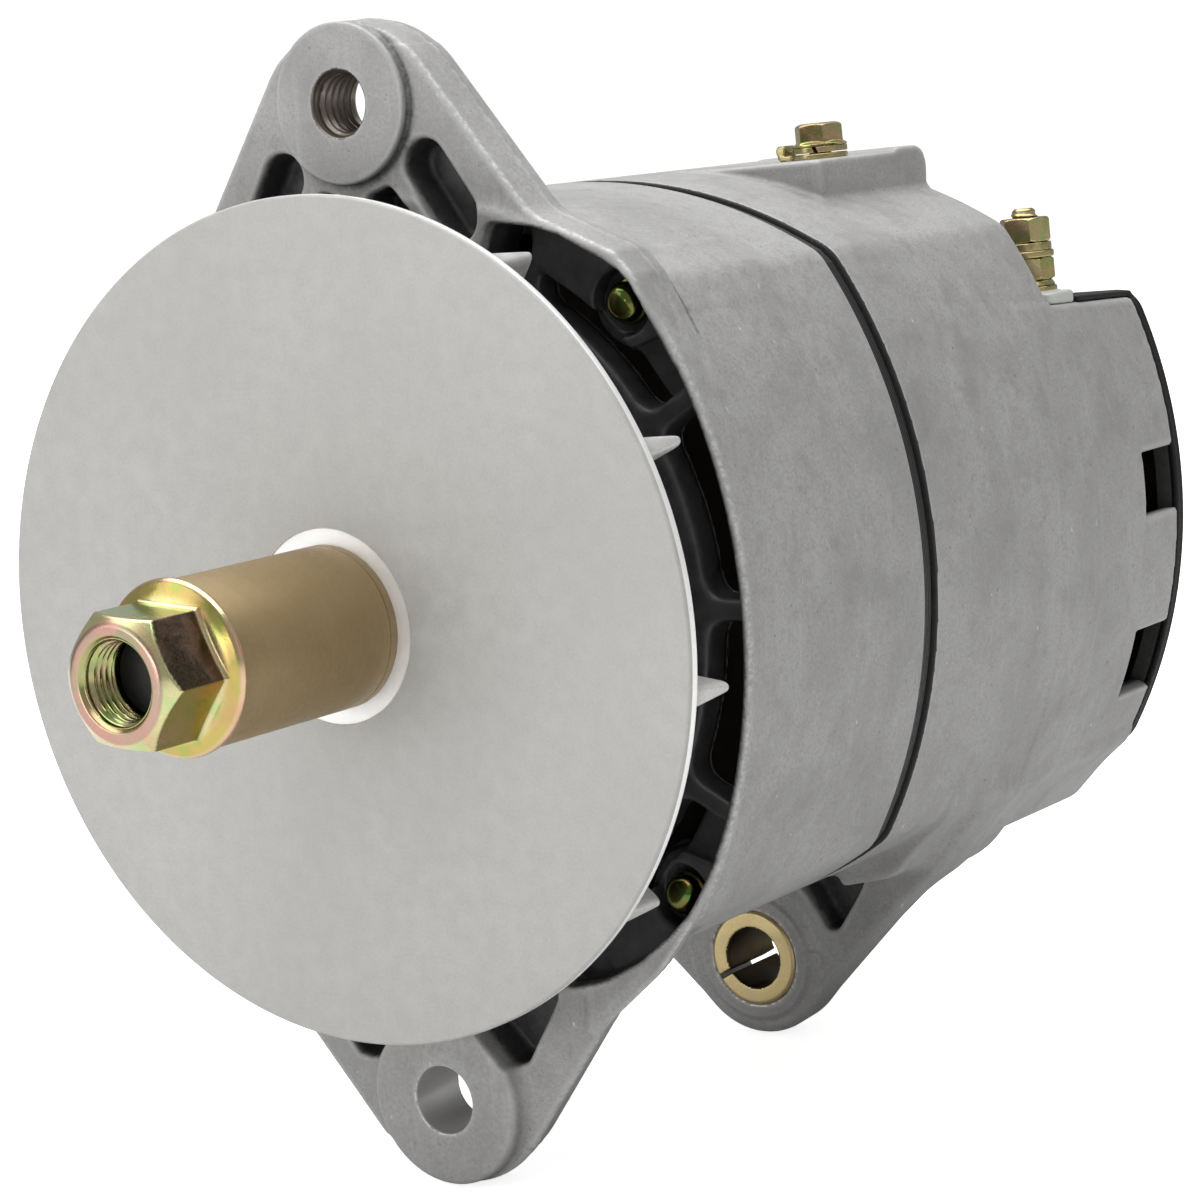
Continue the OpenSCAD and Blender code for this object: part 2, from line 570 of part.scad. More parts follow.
drive_end_frame();
union() { rear_frame(); cover_bosses(); }
stator_core();
stator_winding();
stator_leads();
rotor_shaft();
front_pole_claw();
rear_pole_claw();
pole_joining_ring();
field_core();
field_core_screws();
field_bobbin();
field_coil();
field_lead();
fan();
fan_collar();
shaft_sleeve();
shaft_nut();
front_bearing_outer();
front_bearing_inner();
front_bearing_balls();
front_bearing_cage();
bearing_retainer();
retainer_screws();
rear_bearing_cup();
rear_bearing_inner();
rear_bearing_rollers();
rear_bearing_cage();
hinge_bushing();
through_bolts();
ground_screw();
ground_lock_washer();
ground_tab();
output_stud();
output_nut();
output_jam_nut();
output_lock_washer();
output_washer();
stud_base_washers();
stud_insulator();
rear_cover();
cover_gasket();
cover_screws();
positive_heat_sink();
negative_heat_sink();
rectifier_diodes();
diode_trio();
voltage_regulator();
regulator_screws();
filter_capacitor();

trio_screw();
sink_insulators();
sink_screws();
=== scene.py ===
import math
import time
import bpy
import numpy as np
from mathutils import Matrix, Vector


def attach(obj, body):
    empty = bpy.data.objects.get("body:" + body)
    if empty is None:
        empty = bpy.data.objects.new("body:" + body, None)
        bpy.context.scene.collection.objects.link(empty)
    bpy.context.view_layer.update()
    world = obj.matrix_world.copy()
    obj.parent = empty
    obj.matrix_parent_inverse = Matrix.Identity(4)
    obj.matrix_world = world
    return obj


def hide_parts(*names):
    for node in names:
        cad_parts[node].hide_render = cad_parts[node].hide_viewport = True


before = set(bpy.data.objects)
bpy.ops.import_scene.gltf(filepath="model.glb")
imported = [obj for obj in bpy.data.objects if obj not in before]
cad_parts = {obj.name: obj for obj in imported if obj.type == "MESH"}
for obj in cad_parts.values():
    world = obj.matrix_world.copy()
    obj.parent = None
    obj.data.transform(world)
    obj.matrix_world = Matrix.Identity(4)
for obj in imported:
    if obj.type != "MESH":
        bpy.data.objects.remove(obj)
T0 = time.time()
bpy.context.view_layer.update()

# ------------------------------------------------------------------ camera
cam_data = bpy.data.cameras.new("camera")
cam_data.sensor_fit = "HORIZONTAL"
cam_data.sensor_width = 36.0
cam_data.lens = 103.3676
cam_data.clip_start = 0.01
cam = bpy.data.objects.new("camera", cam_data)
bpy.context.scene.collection.objects.link(cam)
CAM = Vector((422.11, -498.91, 83.46)) / 1000
turn_m = Matrix(((0.815383, 0.570146, -0.100416), (0.008478, 0.161675, 0.986808), (0.578859, -0.805478, 0.126994))).transposed().to_4x4()
turn_m.translation = CAM
cam.matrix_world = turn_m
bpy.context.scene.camera = cam

# ------------------------------------------------------------------ distance functions, in mm
# Each shape is a function of x, y, z arrays that broadcast against each other,
# so that it can be read on a grid and again at the points of a mesh.


def smin(a, b, k):
    if np.isscalar(k) and k <= 0:
        return np.minimum(a, b)
    h = np.maximum(k - np.abs(a - b), 0.0) / k
    return np.minimum(a, b) - h * h * (k * 0.25)


def smax(a, b, k):
    if k <= 0:
        return np.maximum(a, b)
    h = np.maximum(k - np.abs(a - b), 0.0) / k
    return np.maximum(a, b) + h * h * (k * 0.25)


def circ(x, z, cx, cz, r):
    return np.sqrt((x - cx) ** 2 + (z - cz) ** 2) - r


def cap2(x, z, a, b, r):
    ax, az = a
    bx, bz = b
    dx, dz = bx - ax, bz - az
    t = np.clip(((x - ax) * dx + (z - az) * dz) / (dx * dx + dz * dz), 0, 1)
    return np.sqrt((x - ax - t * dx) ** 2 + (z - az - t * dz) ** 2) - r


def poly(x, z, pts, far=10.0):
    """Signed distance to a closed polygon, negative inside; only roughly right beyond far."""
    x, z = np.broadcast_arrays(x, z)
    xs_, zs_ = [p[0] for p in pts], [p[1] for p in pts]
    dx = np.maximum(np.maximum(min(xs_) - x, x - max(xs_)), 0.0)
    dz = np.maximum(np.maximum(min(zs_) - z, z - max(zs_)), 0.0)
    out = np.sqrt(dx * dx + dz * dz) + 0.01
    near = out < far
    x, z = x[near], z[near]
    d = np.full(x.shape, 1e9, x.dtype)
    inside = np.zeros(x.shape, bool)
    n = len(pts)
    for i in range(n):
        x0, z0 = pts[i]
        x1, z1 = pts[(i + 1) % n]
        ex, ez = x1 - x0, z1 - z0
        wx, wz = x - x0, z - z0
        t = np.clip((wx * ex + wz * ez) * (1.0 / (ex * ex + ez * ez)), 0, 1)
        np.minimum(d, (wx - t * ex) ** 2 + (wz - t * ez) ** 2, out=d)
        if z1 != z0:
            inside ^= ((z0 > z) != (z1 > z)) & (x < (x1 - x0) / (z1 - z0) * wz + x0)
    out[near] = np.where(inside, -1.0, 1.0) * np.sqrt(d)
    return out


def rounded(pts, radii, steps=6):
    """The same polygon with its corners turned into arcs."""
    out = []
    n = len(pts)
    for i in range(n):
        p = np.array(pts[i], float)
        a = np.array(pts[i - 1], float) - p
        b = np.array(pts[(i + 1) % n], float) - p
        la, lb = np.linalg.norm(a), np.linalg.norm(b)
        a, b = a / la, b / lb
        r = radii[i] if isinstance(radii, (list, tuple)) else radii
        ang = math.acos(max(-1, min(1, float(a @ b))))
        if r <= 0 or ang > 3.1:
            out.append(tuple(p))
            continue
        cut = min(r / math.tan(ang / 2), 0.49 * la, 0.49 * lb)
        r = cut * math.tan(ang / 2)
        mid = (a + b) / np.linalg.norm(a + b)
        c = p + mid * (r / math.sin(ang / 2))
        s, e = p + a * cut - c, p + b * cut - c
        t0, t1 = math.atan2(s[1], s[0]), math.atan2(e[1], e[0])
        dt = (t1 - t0 + math.pi) % (2 * math.pi) - math.pi
        m = max(steps, int(abs(dt) * r / 1.3))
        for k in range(m + 1):
            t = t0 + dt * k / m
            out.append((c[0] + r * math.cos(t), c[1] + r * math.sin(t)))
    return out


def slab(y, a, b):
    return np.abs(y - (a + b) / 2) - (b - a) / 2


def pull(d2, y, a, b, k=0.0):
    """A 2-D shape pulled along Y, with its edges rounded."""
    return smax(d2, slab(y, a, b), k)


def turned(x, z, deg):
    """x, z seen from a frame that is turned by deg about the shaft, from X towards Z."""
    c, s = math.cos(math.radians(deg)), math.sin(math.radians(deg))
    return x * c + z * s, -x * s + z * c


def box3(x, y, z, lo, hi, k=0.0):
    d = smax(slab(x, lo[0], hi[0]), slab(z, lo[2], hi[2]), k)
    return smax(d, slab(y, lo[1], hi[1]), k)


def axis(parts):
    """Grid positions: (end, step) pairs after a start."""
    out = [parts[0]]
    for end, step in parts[1:]:
        n = max(1, int(round((end - out[-1]) / step)))
        s = out[-1]
        out.extend(s + (end - s) * (i + 1) / n for i in range(n))
    return np.array(out, np.float32)


def net(f, X, Y, Z, newton=3, chunk=48):
    """Surface nets on a grid of uneven spacing, then pulled onto the true surface.
    Returns vertices (mm), quads and normals."""
    X, Y, Z = (np.asarray(a, np.float32) for a in (X, Y, Z))
    F = np.empty((len(X), len(Y), len(Z)), np.float32)
    for s in range(0, len(X), chunk):
        xs = X[s:s + chunk]
        F[s:s + chunk] = f(xs[:, None, None], Y[None, :, None], Z[None, None, :])
    neg = F < 0
    c8 = [(i, j, k) for i in (0, 1) for j in (0, 1) for k in (0, 1)]
    nx, ny, nz = (n - 1 for n in F.shape)
    count = np.zeros((nx, ny, nz), np.uint8)
    for i, j, k in c8:
        count += neg[i:i + nx, j:j + ny, k:k + nz]
    act = np.argwhere((count > 0) & (count < 8))
    idx = np.full((nx, ny, nz), -1, np.int32)
    idx[act[:, 0], act[:, 1], act[:, 2]] = np.arange(len(act))
    I, J, K = act.T
    val = {c: F[I + c[0], J + c[1], K + c[2]] for c in c8}
    pos = {c: np.stack((X[I + c[0]], Y[J + c[1]], Z[K + c[2]]), 1) for c in c8}
    acc = np.zeros((len(act), 3))
    num = np.zeros(len(act))
    for a in c8:
        for ax in range(3):
            if a[ax]:
                continue
            b = tuple(1 if m == ax else a[m] for m in range(3))
            va, vb = val[a], val[b]
            hit = (va < 0) != (vb < 0)
            t = np.where(hit, va / np.where(hit, va - vb, 1), 0)
            acc += np.where(hit[:, None], pos[a] + t[:, None] * (pos[b] - pos[a]), 0)
            num += hit
    V = acc / num[:, None]
    lo = np.stack((X[I], Y[J], Z[K]), 1)
    hi = np.stack((X[I + 1], Y[J + 1], Z[K + 1]), 1)
    slack = (hi - lo) * 0.25

    def at(p):
        return f(p[:, 0], p[:, 1], p[:, 2])

    def grad(p, h=0.03):
        g = np.empty_like(p)
        for m in range(3):
            e = np.zeros(3)
            e[m] = h
            g[:, m] = (at(p + e) - at(p - e)) / (2 * h)
        return g
    for _ in range(newton):
        v0 = at(V)
        g = np.empty_like(V)
        for m in range(3):
            e = np.zeros(3)
            e[m] = 0.02
            g[:, m] = (at(V + e) - v0) / 0.02
        g2 = np.maximum((g * g).sum(1), 0.05)
        V = np.clip(V - g * (v0 / g2)[:, None], lo - slack, hi + slack)
    N = grad(V)
    N /= np.maximum(np.linalg.norm(N, axis=1), 1e-9)[:, None]
    quads = []
    for ax in range(3):
        u, w = [(1, 2), (2, 0), (0, 1)][ax]
        a = [slice(1, n) for n in (nx, ny, nz)]
        b = list(a)
        a[ax] = slice(0, (nx, ny, nz)[ax])
        b[ax] = slice(1, (nx, ny, nz)[ax] + 1)
        s0 = neg[tuple(a)]
        s1 = neg[tuple(b)]
        e = np.argwhere(s0 != s1)
        first = s0[e[:, 0], e[:, 1], e[:, 2]]
        e = e + np.array([0 if m == ax else 1 for m in range(3)])
        cells = []
        for du, dw in ((1, 1), (0, 1), (0, 0), (1, 0)):
            c = e.copy()
            c[:, u] -= du
            c[:, w] -= dw
            cells.append(idx[c[:, 0], c[:, 1], c[:, 2]])
        q = np.stack(cells, 1)
        q[~first] = q[~first][:, ::-1]
        quads.append(q)
    Q = np.concatenate(quads)
    Q = Q[(Q >= 0).all(1)]
    return V, Q, N


def make(name, V, Q, N=None, smooth=True):
    """A mesh object from vertices in mm."""
    me = bpy.data.meshes.new(name)
    V = np.asarray(V, float) / 1000
    if isinstance(Q, np.ndarray):
        me.vertices.add(len(V))
        me.vertices.foreach_set("co", V.astype(np.float32).ravel())
        me.loops.add(Q.size)
        me.loops.foreach_set("vertex_index", Q.astype(np.int32).ravel())
        me.polygons.add(len(Q))
        me.polygons.foreach_set("loop_start", np.arange(0, Q.size, Q.shape[1], dtype=np.int32))
        me.update(calc_edges=True)
    else:
        me.from_pydata([tuple(v) for v in V], [], Q)
        me.update()
    me.validate()
    me.shade_smooth() if smooth else me.shade_flat()
    if N is not None:
        me.normals_split_custom_set_from_vertices([tuple(n) for n in N])
    o = bpy.data.objects.new(name, me)
    bpy.context.scene.collection.objects.link(o)
    return o


def solid(name, f, X, Y, Z, newton=3):
    V, Q, N = net(f, X, Y, Z, newton)
    o = make(name, V, Q, N)
    print("made", name, len(Q), "faces by", round(time.time() - T0, 1), "s")
    return o


# ------------------------------------------------------------------ shapes shared with the CAD, in mm
BODY, UP, SIDE, C = 79.3, 78.7, 112.6, 56.3
MC, GAP = 98.4, 101.6
YE, YH, YL, YE2 = 19.3, 18.3, 31.7, 33.0
YR = YL + GAP
Y1, Y2, YS, YT, Y3, Y4, ZL = 89.0, 93.9, 66.0, 116.4, 166.0, 204.0, 42.0
FALL = math.tan(math.radians(2.5))


def outline(x, z, t=0.0, k=0.9):
    e, u, r = SIDE - BODY, SIDE - UP, SIDE - t
    ax, az = np.abs(x), np.abs(z)
    a = np.sqrt((ax + e) ** 2 + z * z) - r
    b = np.sqrt(x * x + (az + u) ** 2) - r
    return smax(a, b, k)


def ledge_z(y):
    return ZL - FALL * (y - Y3)


# drive-end frame
EAR = rounded([(0, 130.5), (41, 74.2), (58.5, 66.2), (62.6, 61.6), (66.6, 52.2), (68.6, 47), (69.9, 43), (60, 30),
               (-60, 30), (-69.9, 43), (-68.6, 47), (-66.6, 52.2), (-62.6, 61.6), (-58.5, 66.2), (-41, 74.2)],
              [23.5, 9, 4, 4, 8, 8, 0, 0, 0, 0, 8, 8, 4, 4, 9])
LUG = rounded([(0, -131.65), (39.5, -81.3), (52.5, -71), (61, -61), (50, -40),
               (-50, -40), (-61, -61), (-52.5, -71), (-39.5, -81.3)], [24.8, 8, 6, 0, 0, 0, 0, 6, 8])
FLARE = rounded([(36, -82.2), (43.6, -74.3), (50.4, -68.2), (58, -60.5), (40, -50)], [0, 5, 5, 0, 0])
WIN = rounded([(26, 60), (31.3, 73.4), (41, 71.9), (46.8, 69.9), (51.8, 67.1), (56.2, 64.7), (59.2, 62.6),
               (61.6, 59.9), (63.1, 56.8), (64.9, 52), (66.2, 48.2), (50, 44)], [0, 2.5, 3, 0, 4, 4, 3, 3, 2, 0, 0, 0])
WIN_L = rounded([(26, -60), (31.6, -74.2), (41, -72.2), (48.6, -68.6), (55.6, -63.5), (59, -60.2), (61.4, -56.8), (64.3, -52),
                 (66.2, -48.2), (50, -44)], [0, 2, 4, 4, 4, 4, 3, 0, 0, 0])
PK_T = rounded([(3, 74), (3, 80.4), (8.3, 82), (13.4, 77), (15, 71), (5, 71)], [1, 2, 2, 2, 1, 1])
PK_R = rounded([(17.2, -91), (19.6, -90.2), (28.9, -76.2), (29.9, -71), (9, -71), (9.6, -84.4), (15.2, -90.6)], [2, 2, 4, 2, 2, 4, 2])
PK_L = rounded([(19.9, -91.9), (23.1, -91.2), (32.1, -77), (33, -71), (10, -71), (11.6, -85), (17.7, -91.5)], [2, 2, 4, 2, 2, 4, 2])
# solid web in the corners, and its lower step beside the rib
CWEB = rounded([(63.2, 38.2), (72, 41.4), (70, 52), (60, 70), (36, 76), (38.6, 63.2), (46.4, 57.8), (50, 54.8), (56.7, 48)], [0, 0, 0, 0, 0, 2, 0, 4, 2])
CWEB_L = rounded([(63.2, 38.2), (72, 41.4), (70, 52), (60, 70), (26, 78), (28, 69), (38, 63.4), (46.4, 57.8), (50, 54.8), (56.7, 48)], [0, 0, 0, 0, 0, 2, 0, 0, 4, 2])
CSTEP = rounded([(55.5, 47.2), (63.4, 49.6), (74, 52), (74, 40.5), (62, 36.5)], [1.5, 1.5, 0, 0, 1.5])
RIB_AT = (-1.3, 28.9, 60, 90, 120, 151.1, 181.3, 210.3, 240, 270, 300, 329.7)


def front_face(z):
    """Where the casting's front face lies: it comes forward towards the ear and the lug."""
    return 24 - 2.4 * np.clip((np.abs(z) - 40) / 18, 0, 1) ** 2


def ear_plate(x, y, z):
    bead = np.exp(-((y - 29.6) / 0.5) ** 2) * (0.22 + 0.12 * np.sin(x * 1.9 + z * 2.3) * np.sin(x * 0.7 - z * 1.1))
    d = smax(poly(x, z, EAR) + 0.035 * np.abs(y - 29.6) - bead, 44 - z, 1)
    return smax(smax(d, front_face(z) - y, 1.2), y - YE2, 1.2)


def lug_plate(x, y, z):
    bead = np.exp(-((y - 26.4) / 0.5) ** 2) * (0.10 + 0.08 * np.sin(x * 2.1 + z * 1.3))
    d = smax((poly(x, z, LUG) + 0.2772 * (y - 21.6)) * 0.9637 - bead, z + 50, 1)
    d = smax(smax(d, front_face(z) - y, 1.2), y - YL, 1.5)
    fl = smax(smax(poly(np.abs(x), z, FLARE) + 0.12 * (y - 21.6), front_face(z) - y, 1.2), y - 28.4, 1.6)
    return smin(d, fl, 2.5)


def openings(x, z):
    """The air openings of the front face, less the spider: negative inside."""
    ax, az = np.abs(x), np.abs(z)
    hole = smax(outline(x, z, 1.9), az - 67, 3)
    return smin(hole, np.minimum(poly(ax, z, WIN), poly(ax, z, WIN_L)), 1.0)


def pockets(x, z):
    ax = np.abs(x)
    pk = np.minimum(cap2(ax, np.abs(z), (17.6, 85.2), (24.2, 74.8), 5) + 30 * (z < 0), poly(ax, z, PK_T))
    return np.minimum(pk, np.where(x > 0, poly(x, z, PK_R), poly(-x, z, PK_L)))


def drive_frame(x, y, z):
    ax, az = np.abs(x), np.abs(z)
    r = np.sqrt(x * x + z * z)
    body = smax(smax(outline(x, z), front_face(z) - y, 1.4), y - Y1, 0.7)
    plates = smin(ear_plate(x, y, z), lug_plate(x, y, z), 0)
    kk = 0.4 + 4.6 * np.clip((54 - ax) / 14, 0, 1)
    d = smin(body, plates, kk)
    hole = openings(x, z)
    lip = smax(hole, slab(y, 10, 33.1), 0.8)
    room = np.minimum(smax(outline(x, z, 4), slab(y, 33, 60), 0.5), pull(outline(x, z, 6), y, 59, 67))
    room = np.minimum(room, pull(outline(x, z, 3.95), y, YS, 100))
    d = smax(d, -np.minimum(lip, room), 0.8)
    # spider
    ang = np.degrees(np.arctan2(z, x)) % 360.0
    fold = ang - 60.0
    for c in RIB_AT:
        q = (ang - c + 180.0) % 360.0 - 180.0
        fold = np.where(np.abs(q) < np.abs(fold), q, fold)
    fold = np.radians(np.clip(fold, -25, 25))
    ribs = smax(np.abs(r * np.sin(fold)) - 2.35, 34 - r * np.cos(fold), 1)
    plan = smin(ribs, np.abs(r - 65) - 4, 4.5)
    spider = smax(plan + 0.05 * (33 - y), slab(y, 26.2, 33), 1.7)
    spider = smin(spider, smax(np.abs(r - 30.75) - 9.25, slab(y, 23, 42), 1.2), 2.4)
    corner = smax(np.where(z > 0, poly(ax, z, CWEB), poly(ax, -z, CWEB_L)), slab(y, 26.2, 33), 1.2)
    corner = smax(corner, -smax(poly(ax, az, CSTEP), slab(y, 10, 29.2), 0.8), 0.8)
    spider = smin(spider, corner, 1.2)
    spider = smax(spider, smin(outline(x, z, 1.6), hole - 0.2, 0), 0.5)
    # webs behind the ear and behind the hinge lug
    webs = smax(smax(plates, -hole, 1.0), outline(x, z, -30), 0)
    d = smin(smin(d, spider, 0.9), webs, 0.6)
    # bosses
    d = smin(d, smax(circ(x, z, 0, MC, 15.55), slab(y, YE, 31), 0.6), 0.5)
    kb = 0.4 + 3.0 * np.clip((z + 106) / 8, 0, 1)
    d = smin(d, smax(circ(x, z, 0, -MC, 17.5), slab(y, YH, YL), 1.4), kb)
    boss = smax(circ(ax, az, C, C, 8.6), slab(y, 30.02, YS), 0.8)
    d = smin(d, smax(boss, outline(x, z, 1), 0.5), 2.0)
    pit = smax(circ(ax, az, C, C, 6.1), hole + 0.9, 0.6)
    d = smax(d, -smax(pit - 0.08 * (30 - y), slab(y, 10, 30.02), 0.3), 0.8)
    # pockets
    d = smax(d, -smax(pockets(x, z) + 0.07 * (y - 21.6), slab(y, 5, 29), 1.2), 0.9)
    # holes
    d = smax(d, -np.minimum(circ(x, z, 0, MC, 6.4), circ(x, z, 0, -MC, 6.85)) + 0 * y, 0.7)
    d = smax(d, -circ(ax, az, C, C, 2.85) + 0 * y, 0)
    d = smax(d, -smax(r - 31.02, slab(y, 25, 60), 0), 0.4)
    for a in (30, 150, 270):
        u, w = turned(x, z, a)
        d = smax(d, -smax(np.sqrt((u - 35.6) ** 2 + w * w) - 2.05, slab(y, 33, 60), 0), 0)
    return d


# rear frame
RLUG = rounded([(0, -122.9), (33.8, -90.2), (42, -83), (51, -74.5), (61, -61), (40, -50),
                (-40, -50), (-61, -61), (-51, -74.5), (-42, -83), (-33.8, -90.2)], [17.6, 10, 10, 0, 0, 0, 0, 0, 0, 10, 10])
RPK = rounded([(12.4, -78.8), (22, -75.4), (30, -72.8), (33.2, -76.6), (22.5, -91.2), (19.5, -91.2)], [2, 3, 2, 3, 2, 2])
SKIRT = rounded([(62, -58), (61, -61), (47, -75), (26, -79), (-26, -79), (-47, -75), (-61, -61),
                 (-62, -58), (-40, -50), (40, -50)], [2, 3, 8, 20, 20, 8, 3, 2, 0, 0])
LCUT = [(-70, -50), (-55, -77), (-30, -83), (30, -83), (55, -77), (70, -50)]
SINKS = ((24, 12.5), (57, 12.5))
REGS = ((47.3, -12.7), (-47.3, -12.7), (0, -32.2))
LC, LS = math.cos(math.radians(2.5)), math.sin(math.radians(2.5))


def ledge(y, z, t=0.0):
    """Distance above the falling ledge."""
    return (z - ZL) * LC + (y - Y3) * LS - t


def back_frame(x, y, z):
    ax, az = np.abs(x), np.abs(z)
    o = outline(x, z)
    body = smax(smax(o, Y2 - y, 0.7), y - Y3, 1.6)
    tail = smax(smax(o, slab(y, 150, Y4), 0.7), ledge(y, z), 1.4)
    skirt = smax(poly(x, z, SKIRT), slab(y, 120, Y4), 1.6)
    d = smin(smin(body, tail, 1.6), skirt, 3)
    rise = 0.5 + 0.5 * np.tanh((y - 153.2) / 0.8)
    pad = smax(smax(slab(x, 8, 44.2), 120.5 - y, 1.5), smax(y - Y3, z - 78.17 - 0.85 * rise, 5.0), 1.1)
    d = smin(d, smax(pad, 0.12 * (66 - z), 1.5), 1.2)
    lug = smin(circ(x, z, 0, -MC, 17.6), poly(x, z, RLUG), 1.0)
    front = smax(lug + 0.05 * (y - 134.2), slab(y, 134.2, 146), 2.4)
    deep = smax(smax(lug + 0.05 * (y - 134.2), poly(x, z, LCUT), 3), slab(y, 140, 160), 4)
    d = smin(d, smin(front, deep, 4), 7)
    d = smin(d, smax(circ(x, z, 0, -MC, 13.8), slab(y, 133.8, 147), 0.6), 1.4)
    d = smin(d, smax(circ(x, z, 16, -98.2, 1.9), slab(y, 133.9, 140), 0.4), 0.8)
    # rooms
    d = smax(d, -smax(outline(x, z, 3.95), slab(y, 80, YT), 0), 0.4)
    d = smax(d, -smax(outline(x, z, 6), slab(y, 116.3, 129), 0), 0.4)
    posts = smax(circ(x, z, 0, 0, 25), y - 154, 0.6)
    posts = np.minimum(posts, smax(circ(ax, az, C, C, 8), y - 146, 0.6))
    for p in SINKS:
        posts = np.minimum(posts, smax(circ(ax, z, p[0], p[1], 4.5), y - 157.55, 0.4))
    for p in REGS:
        posts = np.minimum(posts, smax(circ(x, z, p[0], p[1], 4.5), y - 155.95, 0.4))
    posts = np.minimum(posts, smax(circ(x, z, -40.5, -40.5, 4.5), y - 149.95, 0.4))
    posts = np.minimum(posts, smax(circ(x, z, 38, -50, 5), y - 149.95, 0.4))
    room = smax(smax(outline(x, z, 4), slab(y, 134, 162), 0), -posts, 0.6)
    tailroom = smax(smax(outline(x, z, 4), slab(y, 161.9, 230), 0), ledge(y, z, -3.6), 0.4)
    d = smax(d, -np.minimum(room, tailroom), 0.4)
    fold = np.radians((np.degrees(np.arctan2(z, x)) + 15.0) % 30.0 - 15.0)
    rr = np.sqrt(x * x + z * z)
    d = smax(d, -smax(smax(slab(rr * np.cos(fold), 36, 59), np.abs(rr * np.sin(fold)) - 5.5, 3), slab(y, 100, 134.01), 0), 0.6)
    # notches of the rear rim
    n = smax(smax(60 - ax, slab(z, -7.6, 6.7), 0.3), 188.4 - y, 0.8)
    u, w = turned(ax, z, -29.5)
    n = np.minimum(n, smax(smax(60 - u, slab(w, -8.5, 7.3), 0.3), 188.4 - y, 0.8))
    n = np.minimum(n, smax(smax(slab(ax, 11.3, 24.7), z + 50, 0.3), 188.4 - y, 0.8))
    d = smax(d, -n, 0.5)
    # bosses of the cover screws
    b = np.minimum(circ(ax, z, 69.3, 33.5, 4.6), circ(ax, z, 55.4, -57.5, 4.8))
    d = smin(d, smax(smax(b, outline(x, z, 1), 0.3), slab(y, 186, Y4), 0.4), 0.8)
    # hinge
    hh = circ(x, z, 0, -MC, 10.77)
    d = smax(d, -hh + 0 * y, 0.5)
    d = smax(d, -smax(poly(ax, z, RPK) + 0.06 * (y - 134), slab(y, 120, 141.5), 1.6), 1.1)
    # bearing, bolts, screws, stud
    d = smax(d, -smax(circ(x, z, 0, 0, 20.5), slab(y, 100, 149), 0), 0.3)
    d = smax(d, -smax(circ(x, z, 0, 0, 13), slab(y, 100, 151.6), 0), 0)
    d = smax(d, -smax(circ(ax, az, C, C, 2.55), slab(y, 80, 140), 0), 0)
    d = smax(d, -smax(circ(ax, az, 21.567, 21.567, 2.55), slab(y, 100, 134.1), 0), 0)
    d = smax(d, -smax(circ(x, z, -16.75, -29.01, 4), slab(y, 100, 134.1), 0), 0)
    for px, pz, y0 in ((24, 12.5, 142), (-24, 12.5, 142), (57, 12.5, 142), (-57, 12.5, 142), (47.3, -12.7, 142), (-47.3, -12.7, 142),
                       (0, -32.2, 142), (-40.5, -40.5, 138), (38, -50, 138)):
        d = smax(d, -smax(circ(x, z, px, pz, 2.05), slab(y, y0, 160), 0), 0)
    d = smax(d, -smax(np.sqrt((x - 30.5) ** 2 + (y - 144) ** 2) - 2.45, 60 - z, 0), 0)
    d = smax(d, -smax(np.sqrt((x - 60.2) ** 2 + (y - 178.2) ** 2) - 5, 30 - z, 0), 0.2)
    sc = np.minimum(circ(ax, z, 69.3, 33.5, 1.75), circ(ax, z, 55.4, -57.5, 1.75))
    d = smax(d, -smax(sc, 190 - y, 0), 0)
    return d


# ------------------------------------------------------------------ small turned and threaded pieces
def place(axis_name, centre, r, h, t):
    """A point of a turned shape: r from the axis, h along it, at angle t."""
    c, s = np.cos(t), np.sin(t)
    if axis_name == "y":
        return np.stack((centre[0] + r * c, h + 0 * c, centre[1] + r * s), -1)
    return np.stack((centre[0] + r * c, centre[1] + r * s, h + 0 * c), -1)


def lathe(prof, seg=96, axis_name="y", centre=(0, 0)):
    """Vertices and faces of a closed profile of (r, h) turned about an axis."""
    V, F = [], []
    t = np.arange(seg) * 2 * math.pi / seg
    first = []
    for r, h in prof:
        first.append(len(V))
        if r < 1e-6:
            V.extend(place(axis_name, centre, 0, h, t[:1]).tolist())
        else:
            V.extend(place(axis_name, centre, r, h, t).tolist())
    n = len(prof)
    for i in range(n):
        j = (i + 1) % n
        za, zb = prof[i][0] < 1e-6, prof[j][0] < 1e-6
        if za and zb:
            continue
        for k in range(seg):
            m = (k + 1) % seg
            a = [first[i]] if za else [first[i] + k, first[i] + m]
            b = [first[j]] if zb else [first[j] + m, first[j] + k]
            F.append(tuple(a + b))
    return V, F


